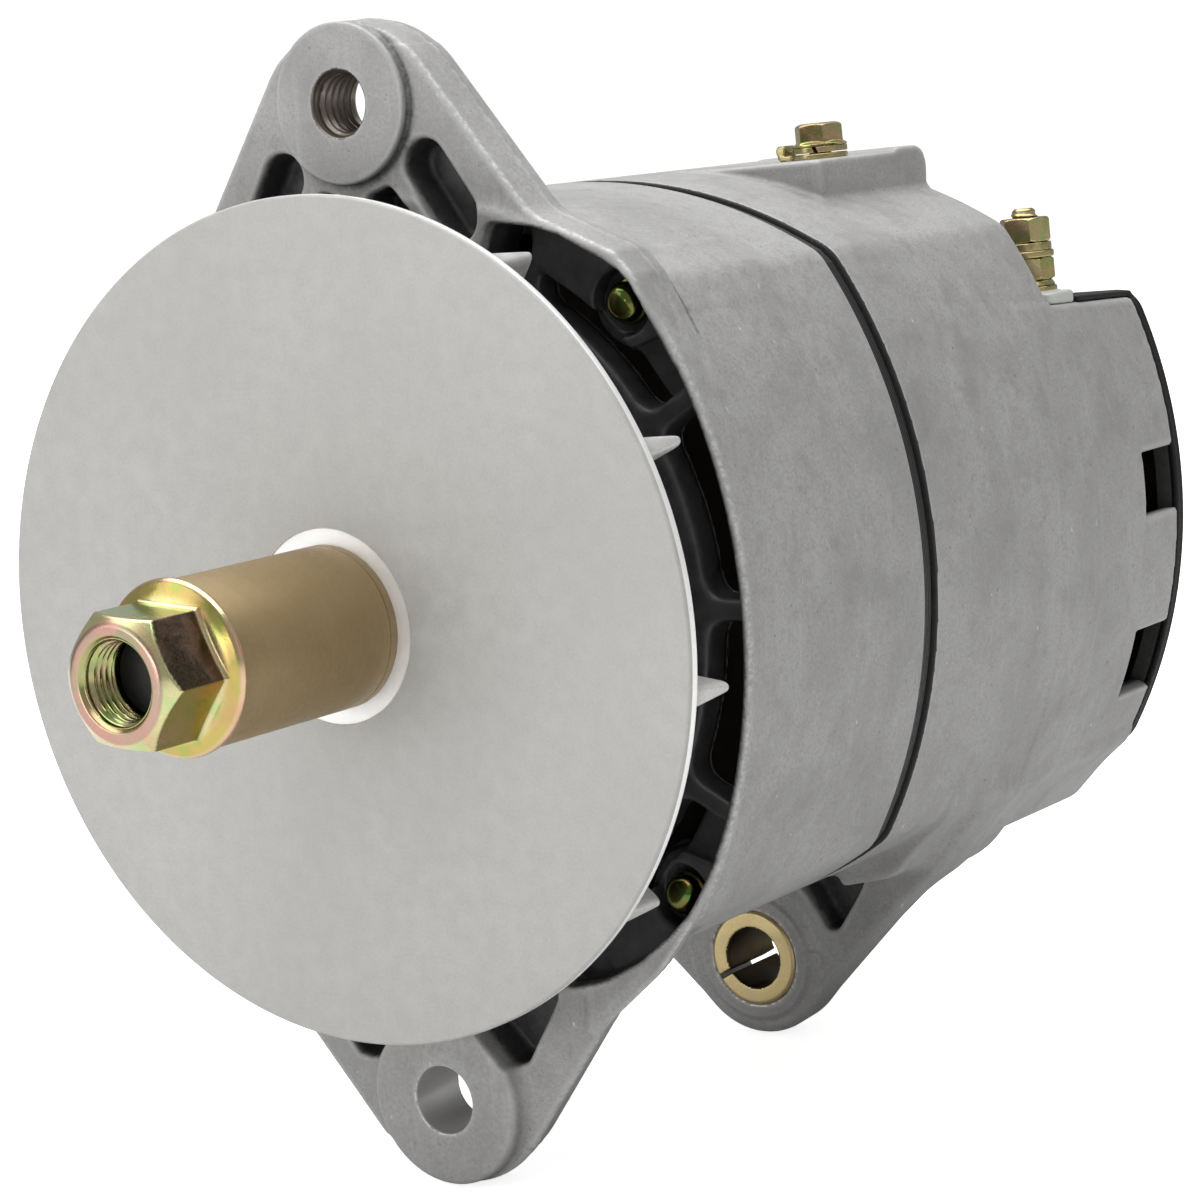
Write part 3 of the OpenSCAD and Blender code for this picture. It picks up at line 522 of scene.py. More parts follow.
def helix_tube(r_out, r_in, pitch, a, b, inside, seg=72, per=8, axis_name="y", centre=(0, 0), wall=0.6, fade=1.0):
    """A threaded sleeve. inside=True: the thread looks at the axis and its ridges reach r_in;
    inside=False: a rod's thread, ridges at r_out, a plain tube under it."""
    n = max(2, int(round((b - a) / pitch * per)))
    hs = [a + (b - a) * i / n for i in range(n + 1)]
    t = np.arange(seg) * 2 * math.pi / seg
    V, F = [], []
    for h in hs:
        ph = (h / pitch + t / (2 * math.pi)) % 1.0
        tri = np.clip(np.abs(ph * 2 - 1) * 1.35 - 0.15, 0, 1)
        f = min(1.0, (h - a) / (fade * pitch) if fade else 1, (b - h) / (fade * pitch) if fade else 1)
        tri = tri * max(f, 0.0)
        r = r_out - (r_out - r_in) * tri if inside else r_in + (r_out - r_in) * tri
        V.extend(place(axis_name, centre, r, h, t).tolist())
    back = r_out + wall if inside else r_in - wall
    start = len(V)
    for h in (hs[-1], hs[0]):
        V.extend(place(axis_name, centre, back, h, t).tolist())
    rows = [seg * i for i in range(n + 1)] + [start, start + seg]
    for i in range(len(rows)):
        ra, rb = rows[i], rows[(i + 1) % len(rows)]
        for k in range(seg):
            m = (k + 1) % seg
            F.append((ra + k, ra + m, rb + m, rb + k))
    return V, F


def join(parts):
    V, F = [], []
    for v, f in parts:
        o = len(V)
        V.extend(v)
        F.extend(tuple(i + o for i in q) for q in f)
    return V, F


def tidy(o, angle=35.0):
    """Outward faces, smooth where the surface is."""
    import bmesh
    bm = bmesh.new()
    bm.from_mesh(o.data)
    bmesh.ops.recalc_face_normals(bm, faces=bm.faces)
    bm.to_mesh(o.data)
    bm.free()
    o.data.shade_smooth()
    o.data.set_sharp_from_angle(angle=math.radians(angle))
    return o


def hexa(x, y, af, deg):
    """Hexagon across flats af, one corner at deg."""
    d = None
    for k in (30, 90, 150):
        t = math.radians(deg + k)
        q = np.abs(x * math.cos(t) + y * math.sin(t)) - af / 2
        d = q if d is None else np.maximum(d, q)
    return d


PIECES = []


def add(o, body, nodes, slot, *mats):
    for m in mats:
        o.data.materials.append(m)
    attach(o, body)
    if nodes:
        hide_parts(*nodes)
    PIECES.append(o)
    return o


def by_place(o, rule):
    """Material index of each face from its centre and normal, in mm."""
    me = o.data
    n = len(me.polygons)
    c = np.empty(n * 3, np.float32)
    w = np.empty(n * 3, np.float32)
    me.polygons.foreach_get("center", c)
    me.polygons.foreach_get("normal", w)
    c = c.reshape(-1, 3) * 1000
    w = w.reshape(-1, 3)
    idx = np.asarray(rule(c[:, 0], c[:, 1], c[:, 2], w[:, 0], w[:, 1], w[:, 2]), np.int32)
    me.polygons.foreach_set("material_index", idx)


def ramp01(v, a, b):
    t = np.clip((v - a) / (b - a), 0, 1)
    return t * t * (3 - 2 * t)


def by_vertex(o, name, rule):
    """A number at each vertex from its place and normal, in mm, for a material to read."""
    me = o.data
    n = len(me.vertices)
    c = np.empty(n * 3, np.float32)
    w = np.empty(n * 3, np.float32)
    me.vertices.foreach_get("co", c)
    me.vertices.foreach_get("normal", w)
    c = c.reshape(-1, 3) * 1000
    w = w.reshape(-1, 3)
    v = rule(c[:, 0], c[:, 1], c[:, 2], w[:, 0], w[:, 1], w[:, 2])
    if isinstance(v, tuple):
        at = me.attributes.new(name, "FLOAT_COLOR", "POINT")
        full = np.ones((n, 4), np.float32)
        for k in range(3):
            full[:, k] = v[k]
        at.data.foreach_set("color", full.ravel())
    else:
        at = me.attributes.new(name, "FLOAT", "POINT")
        at.data.foreach_set("value", np.ascontiguousarray(v, np.float32))


# ------------------------------------------------------------------ materials
class Mat:
    """Short calls for a node material in object coordinates."""

    def __init__(self, name, colour=(0.5, 0.5, 0.5), metallic=0.0, rough=0.5, **kw):
        self.m = bpy.data.materials.new(name)
        self.m.use_nodes = True
        self.t = self.m.node_tree
        self.n = self.t.nodes
        self.b = self.n["Principled BSDF"]
        self.b.inputs["Base Color"].default_value = (*colour, 1)
        self.b.inputs["Metallic"].default_value = metallic
        self.b.inputs["Roughness"].default_value = rough
        for k, v in kw.items():
            self.b.inputs[k.replace("_", " ")].default_value = v
        self.co = self.n.new("ShaderNodeTexCoord").outputs["Object"]
        self.m.diffuse_color = (*colour, 1)

    def link(self, a, b):
        self.t.links.new(a, b)

    def scaled(self, s, rot=(0, 0, 0)):
        n = self.n.new("ShaderNodeMapping")
        n.inputs["Scale"].default_value = s
        n.inputs["Rotation"].default_value = rot
        self.link(self.co, n.inputs["Vector"])
        return n.outputs["Vector"]

    def noise(self, scale, detail=3.0, rough=0.5, dist=0.0, co=None):
        n = self.n.new("ShaderNodeTexNoise")
        n.inputs["Scale"].default_value = scale
        n.inputs["Detail"].default_value = detail
        n.inputs["Roughness"].default_value = rough
        n.inputs["Distortion"].default_value = dist
        self.link(co or self.co, n.inputs["Vector"])
        return n.outputs["Fac"]

    def voronoi(self, scale, feature="F1", co=None, out="Distance"):
        n = self.n.new("ShaderNodeTexVoronoi")
        n.feature = feature
        n.inputs["Scale"].default_value = scale
        self.link(co or self.co, n.inputs["Vector"])
        return n.outputs[out]

    def ramp(self, fac, stops, mode="LINEAR"):
        n = self.n.new("ShaderNodeValToRGB")
        n.color_ramp.interpolation = mode
        e = n.color_ramp.elements
        while len(e) < len(stops):
            e.new(0.5)
        for k, (pos, col) in enumerate(stops):
            e[k].position = pos
            e[k].color = (*col, 1) if isinstance(col, (tuple, list)) else (col, col, col, 1)
        self.link(fac, n.inputs["Fac"])
        return n.outputs["Color"]

    def math(self, op, a, b=0.0, c=None, clamp=False):
        n = self.n.new("ShaderNodeMath")
        n.operation = op
        n.use_clamp = clamp
        for k, v in enumerate((a, b) if c is None else (a, b, c)):
            if isinstance(v, (int, float)):
                n.inputs[k].default_value = v
            else:
                self.link(v, n.inputs[k])
        return n.outputs[0]

    def mix(self, fac, a, b, mode="MIX"):
        n = self.n.new("ShaderNodeMix")
        n.data_type = "RGBA"
        n.blend_type = mode
        for s, v in ((0, fac), (6, a), (7, b)):
            if isinstance(v, (int, float)):
                n.inputs[s].default_value = v if s == 0 else (v, v, v, 1)
            elif isinstance(v, tuple):
                n.inputs[s].default_value = (*v, 1)
            else:
                self.link(v, n.inputs[s])
        return n.outputs[2]

    def range(self, v, a, b, c, d):
        n = self.n.new("ShaderNodeMapRange")
        for k, x in zip(("From Min", "From Max", "To Min", "To Max"), (a, b, c, d)):
            n.inputs[k].default_value = x
        self.link(v, n.inputs["Value"])
        return n.outputs["Result"]

    def bump(self, height, strength, dist, normal=None):
        n = self.n.new("ShaderNodeBump")
        n.inputs["Strength"].default_value = strength
        n.inputs["Distance"].default_value = dist
        self.link(height, n.inputs["Height"])
        if normal is not None:
            self.link(normal, n.inputs["Normal"])
        return n.outputs["Normal"]

    def edge(self, lo=0.505, hi=0.56):
        g = self.n.new("ShaderNodeNewGeometry")
        return self.range(g.outputs["Pointiness"], lo, hi, 0.0, 1.0)

    def given(self, name, out="Fac"):
        n = self.n.new("ShaderNodeAttribute")
        n.attribute_name = name
        return n.outputs[out]

    def sep(self):
        n = self.n.new("ShaderNodeSeparateXYZ")
        self.link(self.co, n.inputs[0])
        return n.outputs

    def colour(self, c):
        self.link(c, self.b.inputs["Base Color"])

    def rough(self, c):
        self.link(c, self.b.inputs["Roughness"])

    def normal(self, c):
        self.link(c, self.b.inputs["Normal"])


def cast_alu(name, dark, light, metallic=0.35, rough=0.62, nick=0.75, grain=1.0, edge=0.5, shaded=False):
    """Tumbled die-cast aluminium: fine grain, cloudy tone, bright nicks, paler edges; when shaded, also painted shade
    towards near-black and pale chipped edges that are partly wear and partly painted highlight.
    """
    k = Mat(name, light, metallic, rough)
    fine = k.noise(1500, 3, 0.6)
    mid = k.noise(330, 4, 0.62)
    cloud = k.noise(38, 3, 0.55, 0.4)
    c = k.ramp(fine, [(0.36, dark), (0.62, light)])
    c = k.mix(k.range(mid, 0.35, 0.66, 0.0, 0.42), c, tuple(min(1, v * 1.16) for v in light))
    c = k.mix(k.range(cloud, 0.40, 0.64, 0.0, 0.42), c, tuple(v * 0.78 for v in dark))
    c = k.mix(k.range(k.noise(120, 3, 0.6, 0.6), 0.52, 0.72, 0.0, 0.34), c, tuple(v * 0.76 for v in dark))
    streak = k.noise(1.0, 3, 0.6, 0.2, co=k.scaled((420, 420, 46)))
    c = k.mix(k.range(streak, 0.58, 0.78, 0.0, 0.30), c, tuple(min(1, v * 1.3) for v in light))
    c = k.mix(k.range(streak, 0.40, 0.24, 0.0, 0.22), c, tuple(v * 0.8 for v in dark))
    spots = k.noise(520, 2, 0.5, co=k.scaled((1, 1, 0.6)))
    c = k.mix(k.range(spots, 0.735, 0.80, 0.0, 0.5), c, (nick, nick, nick))
    pits = k.noise(760, 1, 0.4, co=k.scaled((1, 1, 1), (0.4, 0.9, 0.2)))
    c = k.mix(k.range(pits, 0.73, 0.78, 0.0, 0.5), c, tuple(v * 0.55 for v in dark))
    c = k.mix(k.math("MULTIPLY", k.edge(), edge), c, tuple(min(1, v * 1.45) for v in light))
    if shaded:
        # pale chipped edges where the per-vertex number says: partly wear, partly painted highlight
        chips = k.range(k.noise(900, 2, 0.6), 0.42, 0.60, 0.0, 1.0)
        c = k.mix(k.math("MULTIPLY", k.given("wear_and_painted_highlight"), k.math("MULTIPLY", chips, 0.75)), c, (0.62, 0.62, 0.61))
        # painted shade: a per-vertex number darkens the cast towards near-black, with a ragged edge
        s = k.given("shade")
        torn = k.math("MULTIPLY", k.math("MULTIPLY", s, k.math("SUBTRACT", 1.0, s)), k.range(k.noise(700, 3, 0.65), 0.25, 0.75, -1.4, 1.4))
        s = k.math("ADD", s, torn, clamp=True)
        painted_shade_black = k.mix(k.range(mid, 0.35, 0.65, 0.0, 1.0), (0.026, 0.026, 0.027), (0.042, 0.042, 0.043))
        c = k.mix(s, c, painted_shade_black)
        k.link(k.range(s, 0.0, 1.0, metallic, 0.0), k.b.inputs["Metallic"])
        k.colour(c)
        k.rough(k.math("SUBTRACT", k.range(mid, 0.3, 0.7, rough - 0.07, rough + 0.1), k.math("MULTIPLY", s, 0.2)))
    else:
        k.colour(c)
        k.rough(k.range(mid, 0.3, 0.7, rough - 0.07, rough + 0.1))
    h = k.math("ADD", k.math("MULTIPLY", fine, 0.55), k.math("MULTIPLY", mid, 1.0))
    h = k.math("ADD", h, k.math("MULTIPLY", pits, -0.25))
    k.normal(k.bump(h, 0.32 * grain, 0.00022))
    return k.m


def zinc(name, a, b, c, rough=0.24, scale=120, blotch=0.5, tinted=False):
    """Yellow-passivated zinc: gold with pink and green clouds."""
    k = Mat(name, a, 1.0, rough)
    n1 = k.noise(scale, 3, 0.55, 0.8)
    n2 = k.noise(scale * 1.7, 2, 0.5, 0.6, co=k.scaled((1, 1, 1), (0.7, 0.2, 1.1)))
    if tinted:
        # the per-vertex colour holds passivation tone and painted reflections on the flats
        own = k.given("tint_and_painted_reflection", "Color")
        warm = k.mix(0.55, own, (1.0, 0.62, 0.62), "MULTIPLY")
        cool = k.mix(0.6, own, (0.55, 1.0, 0.66), "MULTIPLY")
        col = k.mix(k.range(n1, 0.42, 0.60, 0.0, 1.0), own, k.mix(0.25, warm, b))
        col = k.mix(k.range(n2, 0.48, 0.64, 0.0, 0.9), col, cool)
    else:
        col = k.mix(k.range(n1, 0.40, 0.66, 0.0, blotch), a, b)
        col = k.mix(k.range(n2, 0.46, 0.70, 0.0, blotch), col, c)
    fine = k.noise(2600, 2, 0.5)
    col = k.mix(k.range(fine, 0.35, 0.7, 0.0, 0.22), col, tuple(v * 0.6 for v in a))
    k.colour(col)
    k.rough(k.range(n1, 0.3, 0.7, rough - 0.06, rough + 0.12))
    k.normal(k.bump(fine, 0.12, 0.00008))
    return k.m


def metal(name, col, rough=0.35, metallic=1.0, scale=900, amount=0.25, bump=0.15, stretch=(1, 1, 1)):
    k = Mat(name, col, metallic, rough)
    n = k.noise(scale, 4, 0.6, co=k.scaled(stretch))
    big = k.noise(scale / 14, 2, 0.5)
    c = k.mix(k.range(n, 0.3, 0.7, 0.0, amount), col, tuple(v * 0.62 for v in col))
    c = k.mix(k.range(big, 0.4, 0.7, 0.0, amount * 0.8), c, tuple(min(1, v * 1.25) for v in col))
    k.colour(c)
    k.rough(k.range(n, 0.3, 0.7, max(0.05, rough - 0.08), rough + 0.12))
    k.normal(k.bump(n, bump, 0.00012))
    return k.m


def plain(name, col, rough=0.5, scale=1400, amount=0.3, bump=0.2, speck=None, spec=0.5):
    k = Mat(name, col, 0.0, rough, Specular_IOR_Level=spec)
    n = k.noise(scale, 3, 0.6)
    big = k.noise(scale / 25, 3, 0.5)
    c = k.mix(k.range(n, 0.3, 0.7, 0.0, amount), col, tuple(v * 0.6 for v in col))
    c = k.mix(k.range(big, 0.4, 0.7, 0.0, amount), c, tuple(min(1, v * 1.3 + 0.004) for v in col))
    if speck:
        s = k.noise(scale * 0.6, 1, 0.5)
        c = k.mix(k.range(s, 0.70, 0.76, 0.0, 0.7), c, speck)
    k.colour(c)
    k.rough(k.range(n, 0.3, 0.7, rough - 0.08, rough + 0.1))
    k.normal(k.bump(n, bump, 0.00012))
    return k.m


def turned_metal(name, col, metallic, rough, rings=9000, strength=0.12, mottle=0.25, scratches=True, fine=1800):
    """A face turned about the shaft: rings too fine to count, mottled, a few scratches."""
    k = Mat(name, col, metallic, rough)
    x, y, z = k.sep()
    r = k.math("SQRT", k.math("ADD", k.math("MULTIPLY", x, x), k.math("MULTIPLY", z, z)))
    cc = k.n.new("ShaderNodeCombineXYZ")
    k.link(k.math("MULTIPLY", r, rings), cc.inputs[0])
    k.link(k.math("MULTIPLY", y, 400), cc.inputs[1])
    ring = k.noise(1.0, 2, 0.5, co=cc.outputs[0])
    n = k.noise(fine, 3, 0.65)
    mid = k.noise(240, 4, 0.6)
    cloud = k.noise(26, 3, 0.5, 0.5)
    c = k.mix(k.range(n, 0.34, 0.66, 0.0, mottle), col, tuple(v * 0.72 for v in col))
    c = k.mix(k.range(mid, 0.38, 0.68, 0.0, mottle), c, tuple(min(1, v * 1.22) for v in col))
    c = k.mix(k.range(cloud, 0.38, 0.68, 0.0, mottle * 0.7), c, tuple(v * 0.84 for v in col))
    c = k.mix(k.range(ring, 0.35, 0.65, 0.0, 0.10), c, tuple(v * 0.8 for v in col))
    if scratches:
        for rot, sx, lo in (((0, 0.45, 0), (60, 200, 900), 0.80), ((0, -0.9, 0.1), (90, 200, 1100), 0.80), ((0, 1.9, 0), (120, 200, 800), 0.80)):
            s = k.noise(1.0, 1.0, 0.4, 0.3, co=k.scaled(sx, rot))
            c = k.mix(k.range(s, lo + 0.02, lo + 0.08, 0.0, 0.22), c, (0.85, 0.85, 0.84))
    k.colour(c)
    k.rough(k.range(mid, 0.3, 0.7, rough - 0.05, rough + 0.1))
    h = k.math("ADD", k.math("MULTIPLY", n, 0.8), k.math("MULTIPLY", ring, 0.5))
    k.normal(k.bump(h, strength, 0.00016))
    return k.m


def laminated(name):
    """Varnished core sheets: fine lines across the shaft."""
    k = Mat(name, (0.018, 0.018, 0.018), 0.0, 0.55)
    x, y, z = k.sep()
    w = k.math("SINE", k.math("MULTIPLY", y, 2 * math.pi / 0.00065))
    n = k.noise(500, 3, 0.6)
    c = k.mix(k.range(w, -1, 1, 0.0, 0.6), (0.006, 0.006, 0.006), (0.018, 0.018, 0.0175))
    c = k.mix(k.range(n, 0.62, 0.78, 0.0, 0.4), c, (0.05, 0.05, 0.048))
    k.colour(c)
    k.rough(k.range(n, 0.3, 0.7, 0.4, 0.62))
    k.normal(k.bump(k.math("ADD", w, k.math("MULTIPLY", n, 1.5)), 0.25, 0.0002))
    return k.m


def wound(name):
    """Enamelled copper wire."""
    k = Mat(name, (0.50, 0.19, 0.07), 0.6, 0.35)
    x, y, z = k.sep()
    r = k.math("SQRT", k.math("ADD", k.math("MULTIPLY", x, x), k.math("MULTIPLY", z, z)))
    w = k.math("SINE", k.math("MULTIPLY", k.math("ADD", r, y), 2 * math.pi / 0.0011))
    n = k.noise(260, 3, 0.6)
    c = k.mix(k.range(w, -1, 1, 0.0, 1.0), (0.20, 0.06, 0.02), (0.55, 0.22, 0.08))
    c = k.mix(k.range(n, 0.45, 0.75, 0.0, 0.5), c, (0.13, 0.04, 0.015))
    k.colour(c)
    k.normal(k.bump(w, 0.5, 0.0004))
    return k.m


M = {
    "cast": cast_alu("cast_aluminium", (0.295, 0.292, 0.286), (0.375, 0.372, 0.365), shaded=True),
    # near-black cast for the walls of the seam between the frames: painted shade of the gap
    "seam_painted_shade": cast_alu("seam_wall_painted_shade", (0.018, 0.018, 0.019), (0.030, 0.030, 0.031), 0.1, 0.6, 0.08, 1.0, 0.3),
    "cast_mach": turned_metal("cast_machined", (0.62, 0.615, 0.60), 0.7, 0.42, 9000, 0.12, 0.22, False),
    "fan": turned_metal("fan_face", (0.442, 0.437, 0.42), 0.25, 0.58, 9000, 0.3, 0.44, True),
    "fan_rim": turned_metal("fan_turned_rim", (0.93, 0.93, 0.92), 0.5, 0.4, 14000, 0.10, 0.16, False),
    "fan_back": cast_alu("fan_blades", (0.40, 0.395, 0.385), (0.52, 0.515, 0.50), 0.3, 0.5, 0.8, 0.8, 0.4),
    "nut": zinc("yellow_zinc_nut", (0.62, 0.58, 0.26), (0.66, 0.42, 0.36), (0.34, 0.52, 0.30), 0.24, 110, 0.8),
    "nut_body": zinc("yellow_zinc_nut_body", (0.62, 0.58, 0.26), (0.66, 0.40, 0.34), (0.24, 0.46, 0.24), 0.2, 110, 0.6, tinted=True),
    "nut_bore": zinc("yellow_zinc_bore", (0.40, 0.42, 0.16), (0.55, 0.33, 0.28), (0.20, 0.30, 0.12), 0.2, 180, 0.7),
    "gold": zinc("yellow_zinc", (0.44, 0.37, 0.16), (0.56, 0.42, 0.28), (0.28, 0.31, 0.12), 0.24, 260, 0.8),
    "gold_flats": zinc("yellow_zinc_flats", (0.60, 0.50, 0.22), (0.66, 0.42, 0.32), (0.30, 0.34, 0.14), 0.22, 260, 0.7, tinted=True),
    "gold_soft": zinc("yellow_zinc_matt", (0.70, 0.56, 0.28), (0.76, 0.60, 0.36), (0.55, 0.50, 0.28), 0.42, 90, 0.4),
    "olive": zinc("olive_zinc", (0.12, 0.16, 0.035), (0.24, 0.13, 0.05), (0.06, 0.17, 0.05), 0.14, 260, 0.8),
    "gold_bore": zinc("yellow_zinc_shaded", (0.075, 0.055, 0.025), (0.10, 0.06, 0.03), (0.05, 0.045, 0.02), 0.4, 120, 0.5),
    "thread": metal("cut_thread", (0.20, 0.175, 0.15), 0.34, 0.85, 700, 0.4, 0.2),
    "shaft_end": metal("black_oxide_shaft", (0.035, 0.034, 0.033), 0.38, 0.6, 700, 0.4, 0.2),
    "sleeve": None,
    "core": laminated("core_sheets"),
    "copper": wound("wound_copper"),
    "winding": None,
    "copper_bar": metal("copper_bar", (0.72, 0.34, 0.18), 0.32),
    "lead": plain("sleeved_lead", (0.30, 0.05, 0.03), 0.5, 1100, 0.3),
    "steel": metal("ground_steel", (0.50, 0.50, 0.51), 0.30, 1.0, 1000, 0.2, 0.12),
    "dark_steel": metal("forged_steel", (0.20, 0.20, 0.21), 0.48, 0.9, 500, 0.4, 0.3),
    "bright_steel": metal("bearing_steel", (0.66, 0.66, 0.67), 0.16, 1.0, 1500, 0.08, 0.05),
    "zinc_steel": metal("zinc_plated", (0.62, 0.63, 0.64), 0.28, 1.0, 700, 0.25, 0.12),
    "brass": metal("bearing_cage_brass", (0.66, 0.46, 0.18), 0.3, 1.0, 900, 0.2),
    "bobbin": plain("bobbin_plastic", (0.52, 0.47, 0.32), 0.45, 900, 0.25),
    "insulator": plain("moulded_insulator", (0.46, 0.475, 0.445), 0.42, 1100, 0.16, 0.15),
    "cover": plain("satin_black_cover", (0.007, 0.007, 0.0075), 0.6, 1600, 0.4, 0.25, (0.02, 0.02, 0.02), 0.25),
    "gasket": plain("gasket_fibre", (0.035, 0.034, 0.032), 0.8, 900, 0.5, 0.5),
    "sink": metal("extruded_aluminium", (0.60, 0.60, 0.60), 0.4, 0.9, 600, 0.25, 0.15, (1, 0.1, 1)),
    "diode": metal("diode_can", (0.45, 0.45, 0.47), 0.3, 1.0, 800, 0.2),
    "plastic": plain("black_moulding", (0.025, 0.025, 0.027), 0.42, 1300, 0.35, 0.2, (0.07, 0.07, 0.07)),
    "can": metal("capacitor_can", (0.58, 0.58, 0.60), 0.3, 1.0, 900, 0.15, 0.1, (1, 0.15, 1)),
}


def tan_sleeve():
    k = Mat("tan_passivated_sleeve", (0.27, 0.19, 0.085), 0.45, 0.42)
    n = k.noise(900, 4, 0.6)
    ring = k.noise(1.0, 3, 0.6, co=k.scaled((40, 900, 40)))
    cloud = k.noise(70, 3, 0.5, 0.5)
    c = k.mix(k.range(n, 0.3, 0.7, 0.0, 0.35), (0.285, 0.205, 0.098), (0.215, 0.15, 0.07))
    c = k.mix(k.range(cloud, 0.4, 0.7, 0.0, 0.5), c, (0.34, 0.25, 0.125))
    c = k.mix(k.range(ring, 0.4, 0.7, 0.0, 0.25), c, (0.24, 0.17, 0.085))
    x, y, z = k.sep()
    end = k.math('MAXIMUM', k.range(k.math('ABSOLUTE', k.math('ADD', y, 0.0016)), 0.0001, 0.0003, 0.8, 0.0), k.range(y, -0.0016, -0.0014, 0.0, 0.22))
    c = k.mix(k.math("MULTIPLY", end, k.range(n, 0.3, 0.7, 0.5, 1.0)), c, (0.10, 0.07, 0.035))
    k.colour(c)
    k.rough(k.range(n, 0.3, 0.7, 0.36, 0.52))
    k.normal(k.bump(k.math("ADD", n, ring), 0.12, 0.00012))
    return k.m


M["sleeve"] = tan_sleeve()
M["winding"] = plain("varnished_winding", (0.030, 0.020, 0.014), 0.4, 500, 0.5, 0.5)

# ------------------------------------------------------------------ castings
G = 1.0
NEWTON = 2

xs = axis([-82, (-44, 0.58 * G), (-36, 0.8 * G), (36, 0.62 * G), (44, 0.8 * G), (82, 0.58 * G)])
ys = axis([16.9, (34.5, 0.5 * G), (46, 0.9 * G), (87.6, 3.0), (88.4, 0.4), (89.6, 0.24)])
zs = axis([-118, (-66, 0.62 * G), (-48, 0.7 * G), (48, 0.86 * G), (66, 0.7 * G), (116, 0.62 * G)])
de = solid("drive_end_frame_casting", drive_frame, xs, ys, zs, NEWTON)


def de_faces(x, y, z, a, b, c):
    bore = circ(x, z, 0, MC, 6.75) < 0
    hinge = circ(x, z, 0, -MC, 7.15) < 0
    # the rear face at the seam takes the seam material, painted shade
    return np.select([bore, hinge, (y > 88.3) & (b > 0.6)], [3, 1, 2], 0)


def de_shade(x, y, z, a, b, c):
    """Painted shade, 0 none to 1 near-black: on the walls of the openings, the rim lip, the inside and the pockets, as
    a painted shadow line round the ear boss that is heavier on one side, and as a painted shadow line along the step
    where the ear plate ends.
    """
    o = outline(x, z, 0)
    hole = openings(x, z)
    near = 0.8 * ramp01(np.abs(x), 28, 34) * ramp01(np.abs(z), 50, 56)
    front = ramp01(hole, 1.2, 0.1) * np.maximum(ramp01(y, 21.9, 23.6), near * ramp01(hole, 0.9, -0.2)) * np.where(o > -1.5, y < 32.6, True)
    lip = ramp01(o, -0.5, -2.1) * ramp01(np.abs(z), 62, 54)
    deep = ramp01(o, -1.6, -2.6) * ramp01(y, 25.0, 26.0) * (hole < 1.2)
    back = (o < -2.6) & (y > 33.15) & (y < 88.0)
    pk = ramp01(pockets(x, z), 0.95, 0.1) * ramp01(y, 21.6, 23.6) * 0.95 * (y < 30.5)
    # painted shadow round the ear boss, heavier on the side away from the light
    shadow_side = np.clip(0.45 + 0.55 * (x * 0.75 - (z - MC) * 0.66) / 15.5, 0.1, 1)
    boss_painted_shadow = np.exp(-((np.hypot(x, z - MC) - 15.95) / 0.75) ** 2) * (y > 20.4) * (y < 23) * 0.92 * shadow_side
    # painted shadow line along the step where the ear plate ends
    step = np.exp(-((y - 33.5) / 0.42) ** 2) * (o > -0.8) * ramp01(z, 47.5, 50.5) * ramp01(z, 67, 64) * 0.8
    return np.clip(np.maximum.reduce([front, lip * (y < 34), deep, back * 1.0, pk, boss_painted_shadow, step]), 0, 1)


def de_wear_and_painted_highlight(x, y, z, a, b, c):
    """Edges rubbed bright, partly wear and partly painted highlight: the front edge of the rim and the front edges of
    the ear and the lug.
    """
    o = outline(x, z, 0)
    rim = np.exp(-((o + 0.32) / 0.42) ** 2) * np.exp(-((y - 24.2) / 0.8) ** 2) * (np.abs(z) < 60)
    e = np.minimum(np.abs(poly(x, z, EAR)), np.abs(poly(x, z, LUG)))
    ear = np.exp(-(e / 0.6) ** 2) * np.exp(-((y - 22.0) / 0.55) ** 2) * (np.abs(z) > 60)
    return np.clip(np.maximum(rim, ear), 0, 1)


by_place(de, de_faces)
by_vertex(de, "shade", de_shade)
by_vertex(de, "wear_and_painted_highlight", de_wear_and_painted_highlight)
add(de, "housing", ["drive_end_frame"], "cast_frame", M["cast"], M["cast_mach"], M["seam_painted_shade"], M["thread"])

xs = axis([-82, (-46, 0.95 * G), (46, 0.75 * G), (82, 0.95 * G)])
ys = axis([93.3, (94.6, 0.24), (96.5, 0.6), (119.5, 2.4), (124, 0.7 * G), (131, 1.2), (147, 0.65 * G), (152, 0.9 * G), (164, 1.2), (168.5, 0.6 * G), (186, 1.8), (190.5, 0.7 * G), (202, 1.8), (205.2, 0.5 * G)])
zs = axis([-118.5, (-70, 0.7 * G), (30, 1.0 * G), (45, 0.7 * G), (60, 0.9 * G), (80.8, 0.6 * G)])
rf = solid("rear_frame_casting", back_frame, xs, ys, zs, NEWTON)
# the front face at the seam takes the seam material, painted shade
by_place(rf, lambda x, y, z, a, b, c: np.select(
    [(y < Y2 + 0.35) & (b < -0.4), (circ(x, z, 0, -MC, 11.2) < 0), (y > 203.6) & (b > 0.8), (c > 0.9) & (z > 77.9) & ((x - 30.5) ** 2 + (y - 144) ** 2 < 8.0 ** 2)],
    [2, 1, 1, 1], 0))


def rf_shade(x, y, z, a, b, c):
    o = outline(x, z, 0)
    # painted shade inside the rear frame and in the pockets of the hinge lug
    inside = ramp01(o, -1.9, -2.9) * ((y < 203.6) & (ledge(y, z) < -2) & (z > -72) & ~((y > 119) & (y < 133.5) & (z < -66)))
    pk = ramp01(poly(np.abs(x), z, RPK), 0.8, 0.2) * ramp01(y, 134.4, 137.5) * (y < 143) * 0.93
    return np.clip(np.maximum(inside, pk), 0, 1)


by_vertex(rf, "shade", rf_shade)
